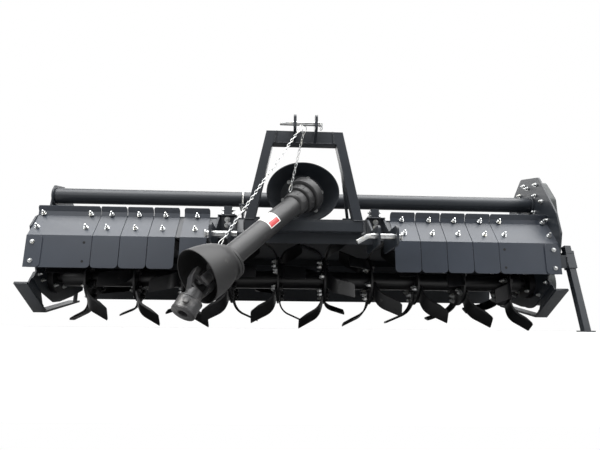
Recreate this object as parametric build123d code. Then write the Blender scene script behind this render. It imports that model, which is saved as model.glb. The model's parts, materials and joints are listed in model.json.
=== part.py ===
from build123d import *
import math
import os

# Rotary tiller for a three-point hitch. X runs to the right as seen from the tractor's side,
# Y runs to the rear, Z runs up from the floor. Lengths are millimetres.
# The model is laid out round the rotor axis (Y = 0) and is shifted at the end so that its
# origin is the middle of its footprint on the floor.

# Rotor
TIP_RADIUS = 245.0
ROTOR_Z = TIP_RADIUS
FLANGE_PITCH = 230.0
FLANGE_SHIFT = 22.0
FLANGE_RADIUS = 118.0
FLANGE_THICKNESS = 10.0
ROTOR_TUBE_RADIUS = 44.5
ROTOR_TUBE_WALL = 8.0
ROTOR_END_GAP = 30.0
ROTOR_PLUG = 40.0
STUB_RADIUS = 25.0
TINE_THICKNESS = 8.0
TINE_REACH = 122.0
TINE_BEND = 66.0
TINE_BEND_RADIUS = 80.0
TINE_ROOT_RADIUS = 58.0
TINE_ROOT_WIDTH = 50.0
TINE_BLADE_WIDTH = 66.0
TINE_RAKE = 32.0
TINE_CORNER = 12.0
TINES_PER_HAND = 3
# How far each flange is turned, in degrees, from the left end to the right
FLANGE_TURN = [28.0, 14.0, 8.0, -34.0, -35.0, -55.0, 40.0, 29.0, 18.0, 0.0]

# Hood and side plates
TINE_SIDE_GAP = 21.0
LAST_FLANGE_X = FLANGE_SHIFT + (len(FLANGE_TURN) - 1) / 2 * FLANGE_PITCH
SIDE_INNER_X = LAST_FLANGE_X + FLANGE_THICKNESS / 2 + TINE_REACH + TINE_SIDE_GAP
SIDE_THICKNESS = 8.0
HOOD_THICKNESS = 5.0
HOOD_TOP_Z = 512.0
HOOD_REAR_Y = 150.0
HOOD_REAR_EDGE_Y = 345.0
HOOD_REAR_EDGE_Z = 400.0
HOOD_LIP_DEPTH = 35.0
LOWER_LOBE_RADIUS = 128.0
LOBE_DROP = 40.0
LOBE_INSET = 10.0
BEARING_RADIUS = 78.0
BEARING_LENGTH = 26.0
RUNNING_GAP = 2.0

# Rear flap
FLAP_HINGE_RADIUS = 8.0
FLAP_THICKNESS = 4.0
FLAP_BOTTOM_Y = 430.0
FLAP_BOTTOM_Z = 163.0
FLAP_SIDE_GAP = 12.0
FLAP_KNEE_BACK = 42.0
FLAP_KNEE_DROP = 110.0

# Front shields
SHIELD_THICKNESS = 4.0
SHIELD_FACE_Y = -303.0
SHIELD_BOTTOM_Z = 256.0
SHIELD_FOLD_Z = 400.0
SHIELD_TOP_Y = -232.0
SHIELD_TOP_Z = 505.0
SHIELD_RIM_Z = 550.0
SHIELD_CORNER = 18.0
NARROW_WIDTH = 119.0
NARROW_GAP = 2.5
NARROW_PITCH = NARROW_WIDTH + NARROW_GAP
NARROW_FIRST_X = 860.5
NARROW_COUNT = 4
END_SHIELD_GAP = 2.0
END_SHIELD_INNER_X = NARROW_FIRST_X + NARROW_WIDTH / 2 + END_SHIELD_GAP
LEFT_LAST_SHIFT = 19.0
CORNER_WIDTH = 70.0
CORNER_GAP = 2.0
CLAMP_THICKNESS = 4.0

# Hitch frame
MAST_FRONT_Y = -480.0
MAST_LEG_DEPTH = 50.0
MAST_LEG_WIDTH = 40.0
MAST_TOP_Z = 846.0
MAST_TOP_HALF = 167.0
MAST_FOOT_HALF = 248.0
CROSSBAR_HEIGHT = 56.0
HITCH_X = 12.0
LOWER_PIN_HALF = 341.5
LOWER_PIN_Z = 380.0
LOWER_PIN_Y = -498.0
LOWER_PIN_DIAMETER = 22.0
LUG_GAP = 66.0
LUG_THICKNESS = 10.0
LUG_ROUND = 41.0
TOP_PIN_Z = MAST_TOP_Z + 9.0
TOP_PIN_Y = MAST_FRONT_Y - 57.0
TOP_PIN_DIAMETER = 19.0
TOP_LUG_GAP = 78.0
TOP_LUG_THICKNESS = 12.0
TOP_LUG_NOSE = 28.0
TOP_LUG_RISE = 34.0
BEAM_FRONT_Y = -480.0
BEAM_DEPTH = 60.0

# Drive
TUBE_RADIUS = 38.0
TUBE_WALL = 5.0
TUBE_Y = -95.0
TUBE_Z = 639.0
GEARBOX_HALF = 105.0
GEARBOX_FRONT_Y = -226.0
GEARBOX_REAR_Y = -20.0
GEARBOX_TOP_Z = 715.0
GEARBOX_BOTTOM_Z = 551.0
GEARBOX_FOOT_HALF = 68.0
GEARBOX_CORNER = 22.0
INPUT_Z = 603.0
BOWL_FRONT_Y = -370.0
BOWL_DEPTH = 70.0
BOWL_HALF_WIDTH = 164.0
BOWL_HALF_HEIGHT = 141.0
BOWL_WALL = 5.0
BOWL_RING_RADIUS = 106.0
CASE_THICKNESS = 62.0
COVER_THICKNESS = 24.0
CASE_INSET = 14.0
COVER_INSET = 28.0
COVER_FRONT_Y = -156.0

# Skids
SKID_WIDTH = 60.0
SKID_THICKNESS = 10.0

# Stand
STAND_OFFSET = 82.0
STAND_FOOT_Y = -288.0
STAND_TOP_Y = -220.0
STAND_TOP_Z = 375.0
STAND_SLEEVE_LENGTH = 86.0
STAND_SLEEVE_WALL = 4.0
STAND_LEG_WIDTH = 30.0
STAND_LEG_WALL = 4.0
STAND_FIT = 1.0
STAND_SLEEVE_WIDTH = STAND_LEG_WIDTH + 2 * (STAND_SLEEVE_WALL + STAND_FIT)
STAND_FOOT_SIZE = 54.0
STAND_FOOT_THICKNESS = 6.0
STAND_LEG_OVER = 28.0
STAND_BRACKET_Y = -246.0
STAND_BRACKET_THICKNESS = 20.0
STAND_BRACKET_DROP = 80.0

# Driveline: its guard hangs a little below the input axis, so the joint does too
JOINT_Y = -440.0
JOINT_SIDE = 10.0
JOINT_DROP = 33.0
SHAFT_DIRECTION = Vector(-0.546, -0.54, -0.615).normalized()
BELL_DIRECTION = Vector(-0.625, -0.61, -0.49).normalized()
YOKE_DIRECTION = Vector(-0.35, -0.44, -0.83).normalized()
GUARD_TUBE_RADIUS = 42.0
GUARD_TUBE_WALL = 4.0
GUARD_TUBE_START = 110.0
GUARD_END_LENGTH = 22.0
COLLAR_START = 520.0
COLLAR_END = 546.0
COLLAR_RADIUS = 57.0
# Bell: distance past the collar, outer radius
BELL_PROFILE = [(-8.0, 57.0), (8.0, 66.0), (22.0, 77.0), (50.0, 88.0), (90.0, 95.0), (125.0, 98.0)]
BELL_WALL = 4.0
OUTER_JOINT = 655.0
SHAFT_START = 20.0
SHAFT_RADIUS = 24.0
SHAFT_HUB_RADIUS = 32.0
NECK_RADIUS = 30.0
NECK_END = 86.0
YOKE_COLLAR_RADIUS = 41.0
HUB_BORE = 34.9
CROSS_RADIUS = 11.0
BUTTON_RADIUS = 10.0
BUTTON_HEIGHT = 9.0
BUTTON_SEAT = 6.0
BUTTON_TURN = 33.0
CROSS_BODY_RADIUS = 16.0
CROSS_END_GAP = 2.0

RIM_CORNER = 15.0
TINE_LEAD = 69.0
RUNNING_FIT = 0.05
PIN_GAP = 0.25
SEAT_GAP = 0.3
RING_THICKNESS = 12.0
RING_BORE = 30.0
NOSE_RADIUS = 50.0
INPUT_RADIUS = 17.5
INPUT_END_GAP = 35.0
DECK_Z = 442.0
DECK_THICKNESS = 6.0
BEAM_BOTTOM_Z = 402.0
BEAM_HALF = 250.0
BAND_HEIGHT = 44.0
BRACE_TOP_X = MAST_TOP_HALF - 12.0
BRACE_TOP_Z = 800.0
BRACE_FOOT_X = 228.0
BRACE_FOOT_Y = -180.0
BRACE_THICKNESS = 12.0
BRACE_WIDTH = 45.0
BRACE_FOOT_HALF = 30.0
LUG_STEP_Y = -405.0
LUG_PLATE_Y = -290.0
LUG_PLATE_TOP_Z = 507.0
LUG_STUB_HALF = 18.0
LUG_STUB_TOP_Z = 552.0
PIN_HALF = 66.0
TOP_PIN_HALF = 72.0
SKID_TIP_Y = -235.0
SKID_TIP_Z = 190.0
SKID_HEEL_Y = -30.0
SKID_HEEL_Z = 70.0
SKID_REAR_Y = 340.0
SKID_REAR_Z = 140.0
SKID_STRAP_Y = 270.0
SKID_STRAP_WIDTH = 35.0
SKID_STRAP_TOP_Z = 380.0
HINGE_OFFSET = 16.0
KNUCKLE_RADIUS = 13.0
KNUCKLE_COUNT = 5
KNUCKLE_PITCH = 480.0
KNUCKLE_LENGTH = 100.0
KNUCKLE_GAP = 1.0
FLAP_CUT_GAP = 6.0
EAR_OUTER = 44.0
EAR_INNER = 29.0
EAR_WIDTH = 36.0
EAR_OVER = 19.0
EAR_ROOT = 8.0
EAR_SWEEP = 47.0
EAR_SHOULDER = 20.0
FORK_HUB_START = 53.0
FORK_HUB_END = 98.0
YOKE_HUB_END = 138.0
CHAIN_RADIUS = 3.5

CENTRE_MIN = (Align.CENTER, Align.CENTER, Align.MIN)


def outline(points):
    """A flat outline through corners (a, b), or (a, b, r) where a corner is rounded."""
    turn = sum(p[0] * q[1] - q[0] * p[1] for p, q in zip(points, points[1:] + points[:1]))
    if turn < 0:
        points = points[::-1]
    sketch = Polygon(*[p[:2] for p in points], align=None)
    for radius in sorted({p[2] for p in points if len(p) == 3}):
        marked = [p for p in points if len(p) == 3 and p[2] == radius]
        corners = [v for v in sketch.vertices()
                   if any(math.hypot(v.X - p[0], v.Y - p[1]) < 0.01 for p in marked)]
        sketch = fillet(corners, radius)
    return sketch


def side_plate(points, x_low, x_high):
    """A plate square to X with its outline in (Y, Z)."""
    sketch = outline(points) if type(points) is list else points
    return Pos(x_low, 0, 0) * extrude(Plane.YZ * sketch, amount=x_high - x_low, dir=(1, 0, 0))


def front_plate(points, y_low, y_high):
    """A plate square to Y with its outline in (X, Z)."""
    sketch = outline(points) if type(points) is list else points
    return Pos(0, y_low, 0) * extrude(Plane.XZ * sketch, amount=y_high - y_low, dir=(0, 1, 0))


def block(x_low, x_high, y_low, y_high, z_low, z_high):
    """A block between two corners."""
    return Pos(x_low, y_low, z_low) * Box(
        x_high - x_low, y_high - y_low, z_high - z_low, align=(Align.MIN, Align.MIN, Align.MIN))


def rod(start, end, radius, bore=0.0):
    """A round bar from start to end, or a tube where bore is given."""
    start, end = Vector(start), Vector(end)
    place = Plane(origin=start, z_dir=end - start)
    length = (end - start).length
    bar = Cylinder(radius, length, align=CENTRE_MIN)
    if bore:
        bar -= Cylinder(bore, length, align=CENTRE_MIN)
    return place * bar


def folded(points, thickness):
    """The outline of a sheet that follows points, its thickness laid off to their left."""
    moved = []
    for i, (a, b) in enumerate(points):
        before = points[i - 1] if i else None
        after = points[i + 1] if i + 1 < len(points) else None
        normals = []
        for p, q in ((before, (a, b)), ((a, b), after)):
            if p and q:
                run = math.hypot(q[0] - p[0], q[1] - p[1])
                normals.append((-(q[1] - p[1]) / run, (q[0] - p[0]) / run))
        na = sum(n[0] for n in normals) / len(normals)
        nb = sum(n[1] for n in normals) / len(normals)
        scale = thickness / (na * na + nb * nb)
        moved.append((a + na * scale, b + nb * scale))
    return list(points) + moved[::-1]


def group(shapes):
    """Solids that share a node."""
    return Compound([solid for shape in shapes for solid in shape.solids()])


def mirrored(shape):
    """The same piece on the left side."""
    return mirror(shape, about=Plane.YZ)


def beam_between(start, end, thickness, width):
    """A flat bar from start to end, its thickness along X."""
    start, end = Vector(start), Vector(end)
    place = Plane(origin=start, x_dir=Vector(1, 0, 0), z_dir=end - start)
    return place * Box(thickness, width, (end - start).length, align=CENTRE_MIN)


nodes = {}

# Shields: one folded section, its outer face through these corners (Y, Z)
LIP_Y = SHIELD_TOP_Y - 12.0
LIP_Z = SHIELD_TOP_Z + 22.0
shield_face = [(SHIELD_FACE_Y, SHIELD_BOTTOM_Z), (SHIELD_FACE_Y, SHIELD_FOLD_Z),
               (SHIELD_TOP_Y, SHIELD_TOP_Z), (SHIELD_TOP_Y, LIP_Z), (LIP_Y, SHIELD_RIM_Z)]
shield_section = folded(shield_face, -SHIELD_THICKNESS)
shield_back = shield_section[len(shield_face):][::-1]
CARRIER_Y = shield_back[2][0]
carrier_section = folded([shield_back[1], shield_back[2], (CARRIER_Y, HOOD_TOP_Z)], -HOOD_THICKNESS)
HOOD_FRONT_Y = CARRIER_Y + HOOD_THICKNESS
behind_carrier = side_plate([(shield_back[1][0], 200.0), shield_back[1], shield_back[2],
                             (CARRIER_Y, HOOD_TOP_Z), (0.0, HOOD_TOP_Z), (0.0, 200.0)],
                            -SIDE_INNER_X, SIDE_INNER_X)


def shield(x_low, x_high):
    """One shield between two X positions, its lower and upper corners rounded."""
    sheet = side_plate(shield_section, x_low, x_high)
    rim = SHIELD_RIM_Z + SHIELD_THICKNESS
    front = outline([(x_low, SHIELD_BOTTOM_Z, SHIELD_CORNER), (x_high, SHIELD_BOTTOM_Z, SHIELD_CORNER),
                     (x_high, rim, RIM_CORNER), (x_low, rim, RIM_CORNER)])
    return sheet & front_plate(front, SHIELD_FACE_Y - SHIELD_THICKNESS, SHIELD_TOP_Y + 2 * SHIELD_THICKNESS)


for side, sign in (("left", -1), ("right", 1)):
    ends = sorted((sign * END_SHIELD_INNER_X, sign * SIDE_INNER_X))
    nodes["end_shield_" + side] = shield(*ends)
    narrow = []
    for i in range(NARROW_COUNT):
        centre = NARROW_FIRST_X - i * NARROW_PITCH
        if side == "left" and i == NARROW_COUNT - 1:
            centre -= LEFT_LAST_SHIFT
        narrow.append(shield(sign * centre - NARROW_WIDTH / 2, sign * centre + NARROW_WIDTH / 2))
    nodes["narrow_shields_" + side] = group(narrow)
    corner_inner = sign * (SIDE_INNER_X - CORNER_WIDTH)
    corner_top = SHIELD_FOLD_Z - CORNER_GAP
    nodes["corner_bracket_" + side] = front_plate(
        [(corner_inner, SHIELD_BOTTOM_Z, SHIELD_CORNER), (corner_inner, corner_top, SHIELD_CORNER),
         (sign * SIDE_INNER_X, corner_top), (sign * SIDE_INNER_X, SHIELD_BOTTOM_Z)],
        SHIELD_FACE_Y - CLAMP_THICKNESS, SHIELD_FACE_Y)

# Hood
nodes["hood_top"] = block(-SIDE_INNER_X, SIDE_INNER_X, HOOD_FRONT_Y, HOOD_REAR_Y,
                          HOOD_TOP_Z - HOOD_THICKNESS, HOOD_TOP_Z)
nodes["hood_rear"] = side_plate(
    [(HOOD_REAR_Y, HOOD_TOP_Z - HOOD_THICKNESS), (HOOD_REAR_EDGE_Y - HOOD_THICKNESS, HOOD_REAR_EDGE_Z),
     (HOOD_REAR_EDGE_Y - HOOD_THICKNESS, HOOD_REAR_EDGE_Z - HOOD_LIP_DEPTH),
     (HOOD_REAR_EDGE_Y, HOOD_REAR_EDGE_Z - HOOD_LIP_DEPTH),
     (HOOD_REAR_EDGE_Y, HOOD_REAR_EDGE_Z + HOOD_THICKNESS), (HOOD_REAR_Y, HOOD_TOP_Z)],
    -SIDE_INNER_X, SIDE_INNER_X)
nodes["shield_carrier"] = side_plate(carrier_section, -SIDE_INNER_X, SIDE_INNER_X)

# Side plates, outlines in (Y, Z); the lower lobe is round the rotor axis
LOBE_Z = ROTOR_Z - LOBE_DROP
lobe = Pos(0, ROTOR_Z) * Circle(LOWER_LOBE_RADIUS)
low_edge = [(HOOD_REAR_EDGE_Y, 207.0), (215.0, 163.0), (84.0, 129.0), (21.0, 122.0), (-119.0, 166.0),
            (-205.0, 218.0), (-180.0, SHIELD_BOTTOM_Z)]
rear_edge = [(HOOD_REAR_Y, HOOD_TOP_Z + 6.0), (HOOD_REAR_EDGE_Y, HOOD_REAR_EDGE_Z + 10.0)]
left_edge = [(-262.0, 400.0), (-280.0, 445.0), (-244.0, 497.0), (-150.0, TUBE_Z - 88.0),
             (TUBE_Y - 33.0, TUBE_Z - 68.0), (TUBE_Y - 17.0, TUBE_Z + 50.0, 12.0),
             (TUBE_Y + 79.0, TUBE_Z + 69.0, 18.0), (120.0, TUBE_Z + 1.0, 20.0)]
right_edge = [(-290.0, 320.0), (-330.0, 445.0, 12.0), (-312.0, 545.0, 12.0),
              (TUBE_Y - 105.0, TUBE_Z + 118.0, 22.0), (TUBE_Y + 58.0, TUBE_Z + 159.0, 30.0),
              (TUBE_Y + 133.0, TUBE_Z + 97.0, 18.0), (110.0, TUBE_Z + 31.0, 20.0)]
OUTER_X = SIDE_INNER_X + SIDE_THICKNESS
nodes["side_plate_left"] = side_plate(low_edge + left_edge + rear_edge, -OUTER_X, -SIDE_INNER_X)
nodes["side_plate_right"] = side_plate(lobe + outline(low_edge + right_edge + rear_edge),
                                       SIDE_INNER_X, OUTER_X)

# Side gear drive: outlines in (Y, Z) above the lobe; the cover keeps clear of the raised stand
case_edge = [(-110.0, 330.0), (-215.0, 500.0, 40.0), (-215.0, TUBE_Z + 1.0, 40.0),
             (TUBE_Y - 55.0, TUBE_Z + 106.0, 30.0), (TUBE_Y + 45.0, TUBE_Z + 133.0, 40.0),
             (TUBE_Y + 115.0, TUBE_Z + 76.0, 30.0), (75.0, TUBE_Z + 1.0, 40.0), (110.0, 400.0)]
cover_edge = [(-98.0, 330.0), (COVER_FRONT_Y, 480.0, 40.0), (COVER_FRONT_Y, TUBE_Z + 1.0, 40.0),
              (TUBE_Y - 25.0, TUBE_Z + 83.0, 30.0), (TUBE_Y + 45.0, TUBE_Z + 115.0, 30.0),
              (TUBE_Y + 105.0, TUBE_Z + 65.0, 30.0), (60.0, TUBE_Z - 5.0, 40.0), (94.0, 400.0)]
CASE_OUTER = OUTER_X + CASE_THICKNESS
for name, edge, inset, x_low, x_high in (
        ("gear_case", case_edge, CASE_INSET, OUTER_X, CASE_OUTER),
        ("gear_case_cover", cover_edge, COVER_INSET, CASE_OUTER, CASE_OUTER + COVER_THICKNESS)):
    lobe_half = LOWER_LOBE_RADIUS - inset - LOBE_INSET
    nodes[name] = side_plate(Pos(0, ROTOR_Z) * Circle(LOWER_LOBE_RADIUS - inset)
                             + outline([(lobe_half, LOBE_Z), (-lobe_half, LOBE_Z)] + edge), x_low, x_high)

# Cross tubes, gearbox and bowl guard
nodes["cross_tube_left"] = rod((-SIDE_INNER_X, TUBE_Y, TUBE_Z), (HITCH_X - GEARBOX_HALF, TUBE_Y, TUBE_Z),
                               TUBE_RADIUS, TUBE_RADIUS - TUBE_WALL)
nodes["cross_tube_right"] = rod((HITCH_X + GEARBOX_HALF, TUBE_Y, TUBE_Z), (SIDE_INNER_X, TUBE_Y, TUBE_Z),
                                TUBE_RADIUS, TUBE_RADIUS - TUBE_WALL)
gearbox = block(HITCH_X - GEARBOX_HALF, HITCH_X + GEARBOX_HALF, GEARBOX_FRONT_Y, GEARBOX_REAR_Y,
                GEARBOX_BOTTOM_Z, GEARBOX_TOP_Z)
gearbox_foot = block(HITCH_X - GEARBOX_FOOT_HALF, HITCH_X + GEARBOX_FOOT_HALF,
                     GEARBOX_FRONT_Y + GEARBOX_CORNER, GEARBOX_REAR_Y, HOOD_TOP_Z, GEARBOX_BOTTOM_Z)
nodes["gearbox"] = fillet(gearbox.edges().filter_by(Axis.Z), GEARBOX_CORNER) + gearbox_foot
RING_Y = BOWL_FRONT_Y + BOWL_DEPTH
RING_BACK_Y = RING_Y + RING_THICKNESS
nodes["gearbox_nose"] = rod((HITCH_X, GEARBOX_FRONT_Y, INPUT_Z), (HITCH_X, RING_BACK_Y, INPUT_Z),
                            NOSE_RADIUS)
nodes["bowl_ring"] = rod((HITCH_X, RING_BACK_Y, INPUT_Z), (HITCH_X, RING_Y, INPUT_Z),
                         BOWL_RING_RADIUS, RING_BORE)
nodes["input_shaft"] = rod((HITCH_X, RING_BACK_Y, INPUT_Z), (HITCH_X, JOINT_Y + INPUT_END_GAP, INPUT_Z),
                           INPUT_RADIUS)


def oval(y, half_width, half_height):
    """An oval square to Y round the input axis."""
    place = Plane(origin=(HITCH_X, y, INPUT_Z), x_dir=(1, 0, 0), z_dir=(0, 1, 0))
    return place * Ellipse(half_width, half_height)


bowl_outside = loft([oval(BOWL_FRONT_Y, BOWL_HALF_WIDTH, BOWL_HALF_HEIGHT),
                     oval(RING_Y, BOWL_RING_RADIUS, BOWL_RING_RADIUS)])
bowl_inside = loft([oval(BOWL_FRONT_Y, BOWL_HALF_WIDTH - BOWL_WALL, BOWL_HALF_HEIGHT - BOWL_WALL),
                    oval(RING_Y, BOWL_RING_RADIUS - BOWL_WALL, BOWL_RING_RADIUS - BOWL_WALL)])
nodes["bowl_guard"] = bowl_outside - bowl_inside

# Front beam and deck
BEAM_REAR_Y = BEAM_FRONT_Y + BEAM_DEPTH
LUG_INNER = LOWER_PIN_HALF - LUG_GAP / 2 - LUG_THICKNESS
nodes["front_beam"] = block(HITCH_X - BEAM_HALF, HITCH_X + BEAM_HALF, BEAM_FRONT_Y, BEAM_REAR_Y,
                            BEAM_BOTTOM_Z, DECK_Z)
deck = block(HITCH_X - BEAM_HALF, HITCH_X + BEAM_HALF, BEAM_FRONT_Y, HOOD_FRONT_Y, DECK_Z,
             DECK_Z + DECK_THICKNESS)
nodes["front_deck"] = deck - behind_carrier
nodes["front_band"] = block(HITCH_X - LUG_INNER, HITCH_X + LUG_INNER, BEAM_REAR_Y - DECK_THICKNESS,
                            BEAM_REAR_Y, BEAM_BOTTOM_Z - BAND_HEIGHT, BEAM_BOTTOM_Z)

# Mast
DECK_TOP_Z = DECK_Z + DECK_THICKNESS
MAST_REAR_Y = MAST_FRONT_Y + MAST_LEG_DEPTH
lug_outline = [(LOWER_PIN_Y - LUG_ROUND, LOWER_PIN_Z - LUG_ROUND, 20.0),
               (LOWER_PIN_Y - LUG_ROUND, LOWER_PIN_Z + LUG_ROUND, 20.0),
               (LUG_STEP_Y, LOWER_PIN_Z + LUG_ROUND, 20.0), (LUG_PLATE_Y, LUG_PLATE_TOP_Z),
               (HOOD_FRONT_Y, LUG_PLATE_TOP_Z),
               (HOOD_FRONT_Y, LOWER_PIN_Z - LUG_ROUND)]
for side, sign in (("left", -1), ("right", 1)):
    leg = front_plate([(HITCH_X + sign * MAST_FOOT_HALF, DECK_TOP_Z),
                       (HITCH_X + sign * MAST_TOP_HALF, MAST_TOP_Z),
                       (HITCH_X + sign * (MAST_TOP_HALF - MAST_LEG_WIDTH), MAST_TOP_Z),
                       (HITCH_X + sign * (MAST_FOOT_HALF - MAST_LEG_WIDTH), DECK_TOP_Z)],
                      MAST_FRONT_Y, MAST_REAR_Y)
    nodes["mast_leg_" + side] = leg
    brace = beam_between((HITCH_X + sign * BRACE_TOP_X, MAST_REAR_Y - BRACE_THICKNESS, BRACE_TOP_Z),
                         (HITCH_X + sign * BRACE_FOOT_X, BRACE_FOOT_Y, HOOD_TOP_Z),
                         BRACE_THICKNESS, BRACE_WIDTH)
    foot_x = HITCH_X + sign * BRACE_FOOT_X
    foot = block(foot_x - BRACE_FOOT_HALF, foot_x + BRACE_FOOT_HALF, BRACE_FOOT_Y - BRACE_WIDTH,
                 BRACE_FOOT_Y + BRACE_WIDTH, HOOD_TOP_Z, HOOD_TOP_Z + SIDE_THICKNESS)
    under_hood = block(foot_x - BRACE_FOOT_HALF, foot_x + BRACE_FOOT_HALF, BRACE_FOOT_Y - BRACE_WIDTH,
                       BRACE_FOOT_Y + BRACE_WIDTH, 0.0, HOOD_TOP_Z)
    nodes["mast_brace_" + side] = (brace + foot - under_hood) - leg
    centre = HITCH_X + sign * LOWER_PIN_HALF
    half_pair = LUG_GAP / 2 + LUG_THICKNESS
    lugs = block(centre - half_pair, centre + half_pair, LUG_PLATE_Y, LUG_PLATE_Y + LUG_THICKNESS,
                 LOWER_PIN_Z - LUG_ROUND, LUG_PLATE_TOP_Z)
    lugs += block(centre - LUG_STUB_HALF, centre + LUG_STUB_HALF, LUG_PLATE_Y, CARRIER_Y, DECK_TOP_Z,
                  LUG_STUB_TOP_Z)
    for low in (centre - half_pair, centre + half_pair - LUG_THICKNESS):
        lugs += side_plate(lug_outline, low, low + LUG_THICKNESS)
    hole = rod((centre - PIN_HALF, LOWER_PIN_Y, LOWER_PIN_Z), (centre + PIN_HALF, LOWER_PIN_Y, LOWER_PIN_Z),
               LOWER_PIN_DIAMETER / 2 + PIN_GAP)
    nodes["lower_lugs_" + side] = lugs - hole - behind_carrier
    nodes["lower_pin_" + side] = rod((centre - PIN_HALF, LOWER_PIN_Y, LOWER_PIN_Z),
                                     (centre + PIN_HALF, LOWER_PIN_Y, LOWER_PIN_Z),
                                     LOWER_PIN_DIAMETER / 2)
half_top = MAST_TOP_HALF - MAST_LEG_WIDTH
drop = CROSSBAR_HEIGHT * (MAST_FOOT_HALF - MAST_TOP_HALF) / (MAST_TOP_Z - DECK_TOP_Z)
nodes["mast_crossbar"] = front_plate(
    [(HITCH_X - half_top - drop, MAST_TOP_Z - CROSSBAR_HEIGHT),
     (HITCH_X + half_top + drop, MAST_TOP_Z - CROSSBAR_HEIGHT),
     (HITCH_X + half_top, MAST_TOP_Z), (HITCH_X - half_top, MAST_TOP_Z)], MAST_FRONT_Y, MAST_REAR_Y)
top_hole = rod((HITCH_X - TOP_PIN_HALF, TOP_PIN_Y, TOP_PIN_Z), (HITCH_X + TOP_PIN_HALF, TOP_PIN_Y, TOP_PIN_Z),
               TOP_PIN_DIAMETER / 2 + PIN_GAP)
top_step = (TOP_LUG_GAP + TOP_LUG_THICKNESS) / 2
nodes["top_link_lugs"] = group([
    side_plate([(MAST_FRONT_Y, MAST_TOP_Z - CROSSBAR_HEIGHT),
                (TOP_PIN_Y - TOP_LUG_NOSE, TOP_PIN_Z - TOP_LUG_NOSE, 10.0),
                (TOP_PIN_Y - TOP_LUG_NOSE, TOP_PIN_Z + TOP_LUG_RISE, 16.0),
                (MAST_FRONT_Y, TOP_PIN_Z + TOP_LUG_RISE, 16.0)],
               HITCH_X + k * top_step - TOP_LUG_THICKNESS / 2,
               HITCH_X + k * top_step + TOP_LUG_THICKNESS / 2) - top_hole
    for k in (-1, 1)])
nodes["top_link_pin"] = rod((HITCH_X - TOP_PIN_HALF, TOP_PIN_Y, TOP_PIN_Z),
                            (HITCH_X + TOP_PIN_HALF, TOP_PIN_Y, TOP_PIN_Z), TOP_PIN_DIAMETER / 2)

# Skids, outboard of the side plates
skid_face = [(SKID_TIP_Y, SKID_TIP_Z), (SKID_HEEL_Y, SKID_HEEL_Z), (SKID_REAR_Y, SKID_REAR_Z)]
skid = side_plate(folded(skid_face, SKID_THICKNESS), OUTER_X, OUTER_X + SKID_WIDTH)
front_gusset = [(SKID_TIP_Y + 13.0, SKID_TIP_Z + 2.0), (SKID_TIP_Y + 55.0, SKID_TIP_Z + 60.0),
                (SKID_HEEL_Y - 92.0, SKID_TIP_Z + 15.0), (SKID_HEEL_Y - 36.0, SKID_HEEL_Z + 28.0)]
rear_strap = [(SKID_STRAP_Y, SKID_REAR_Z - 10.0), (SKID_STRAP_Y + SKID_STRAP_WIDTH, SKID_REAR_Z - 4.0),
              (SKID_STRAP_Y + SKID_STRAP_WIDTH, SKID_STRAP_TOP_Z), (SKID_STRAP_Y, SKID_STRAP_TOP_Z)]
for corners in (front_gusset, rear_strap):
    skid += side_plate(corners, OUTER_X, OUTER_X + SIDE_THICKNESS)
nodes["skid_right"] = skid
nodes["skid_left"] = mirrored(skid)

# Stand
STAND_X = OUTER_X + STAND_OFFSET
stand_foot = Vector(STAND_X, STAND_FOOT_Y, 0)
stand_top = Vector(STAND_X, STAND_TOP_Y, STAND_TOP_Z)
stand_axis = (stand_top - stand_foot).normalized()


def square_tube(start, end, width, wall):
    """A square tube from start to end with its faces square to X."""
    place = Plane(origin=start, x_dir=(1, 0, 0), z_dir=end - start)
    length = (end - start).length
    hollow = Box(width - 2 * wall, width - 2 * wall, length, align=CENTRE_MIN)
    return place * (Box(width, width, length, align=CENTRE_MIN) - hollow)


sleeve_start = stand_top - stand_axis * STAND_SLEEVE_LENGTH
nodes["stand_sleeve"] = square_tube(sleeve_start, stand_top, STAND_SLEEVE_WIDTH, STAND_SLEEVE_WALL)
leg = square_tube(stand_foot, stand_top + stand_axis * STAND_LEG_OVER, STAND_LEG_WIDTH, STAND_LEG_WALL)
half_foot = STAND_FOOT_SIZE / 2
foot_top = block(STAND_X - half_foot, STAND_X + half_foot, STAND_FOOT_Y - half_foot,
                 STAND_FOOT_Y + half_foot, 0.0, STAND_FOOT_THICKNESS)
under_foot = block(STAND_X - half_foot, STAND_X + half_foot, STAND_FOOT_Y - half_foot,
                   STAND_FOOT_Y + half_foot, -half_foot, 0.0)
nodes["stand_leg"] = (leg - under_foot) + foot_top
nodes["stand_bracket"] = block(OUTER_X, STAND_X - STAND_SLEEVE_WIDTH / 2, STAND_BRACKET_Y,
                               STAND_BRACKET_Y + STAND_BRACKET_THICKNESS,
                               STAND_TOP_Z - STAND_BRACKET_DROP, STAND_TOP_Z - STAND_SLEEVE_WIDTH / 2)

# Rotor
TINE_LEAD = TIP_RADIUS * math.sin(math.radians(TINE_RAKE))
TIP_FACE = TIP_RADIUS * math.cos(math.radians(TINE_RAKE))
FACE_X = FLANGE_THICKNESS / 2
slope = math.radians(90.0 - TINE_BEND)
bend_rise = TINE_BEND_RADIUS * math.cos(slope)
blade_run = TINE_REACH - TINE_BEND_RADIUS * (1.0 - math.sin(slope))
BEND_START = TIP_FACE - bend_rise - blade_run * math.tan(slope)


def strip_side(inset):
    """One face of a tine's bent strip in (X, radius), inset from its outer face."""
    root = Vector(FACE_X + inset, TINE_ROOT_RADIUS)
    bend_low = Vector(FACE_X + inset, BEND_START)
    bend = JernArc(bend_low, (0, 1), TINE_BEND_RADIUS - inset, -TINE_BEND)
    blade = Line(bend @ 1, bend @ 1 + (bend % 1) * (blade_run / math.cos(slope)))
    return [Line(root, bend_low), bend, blade]


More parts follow.
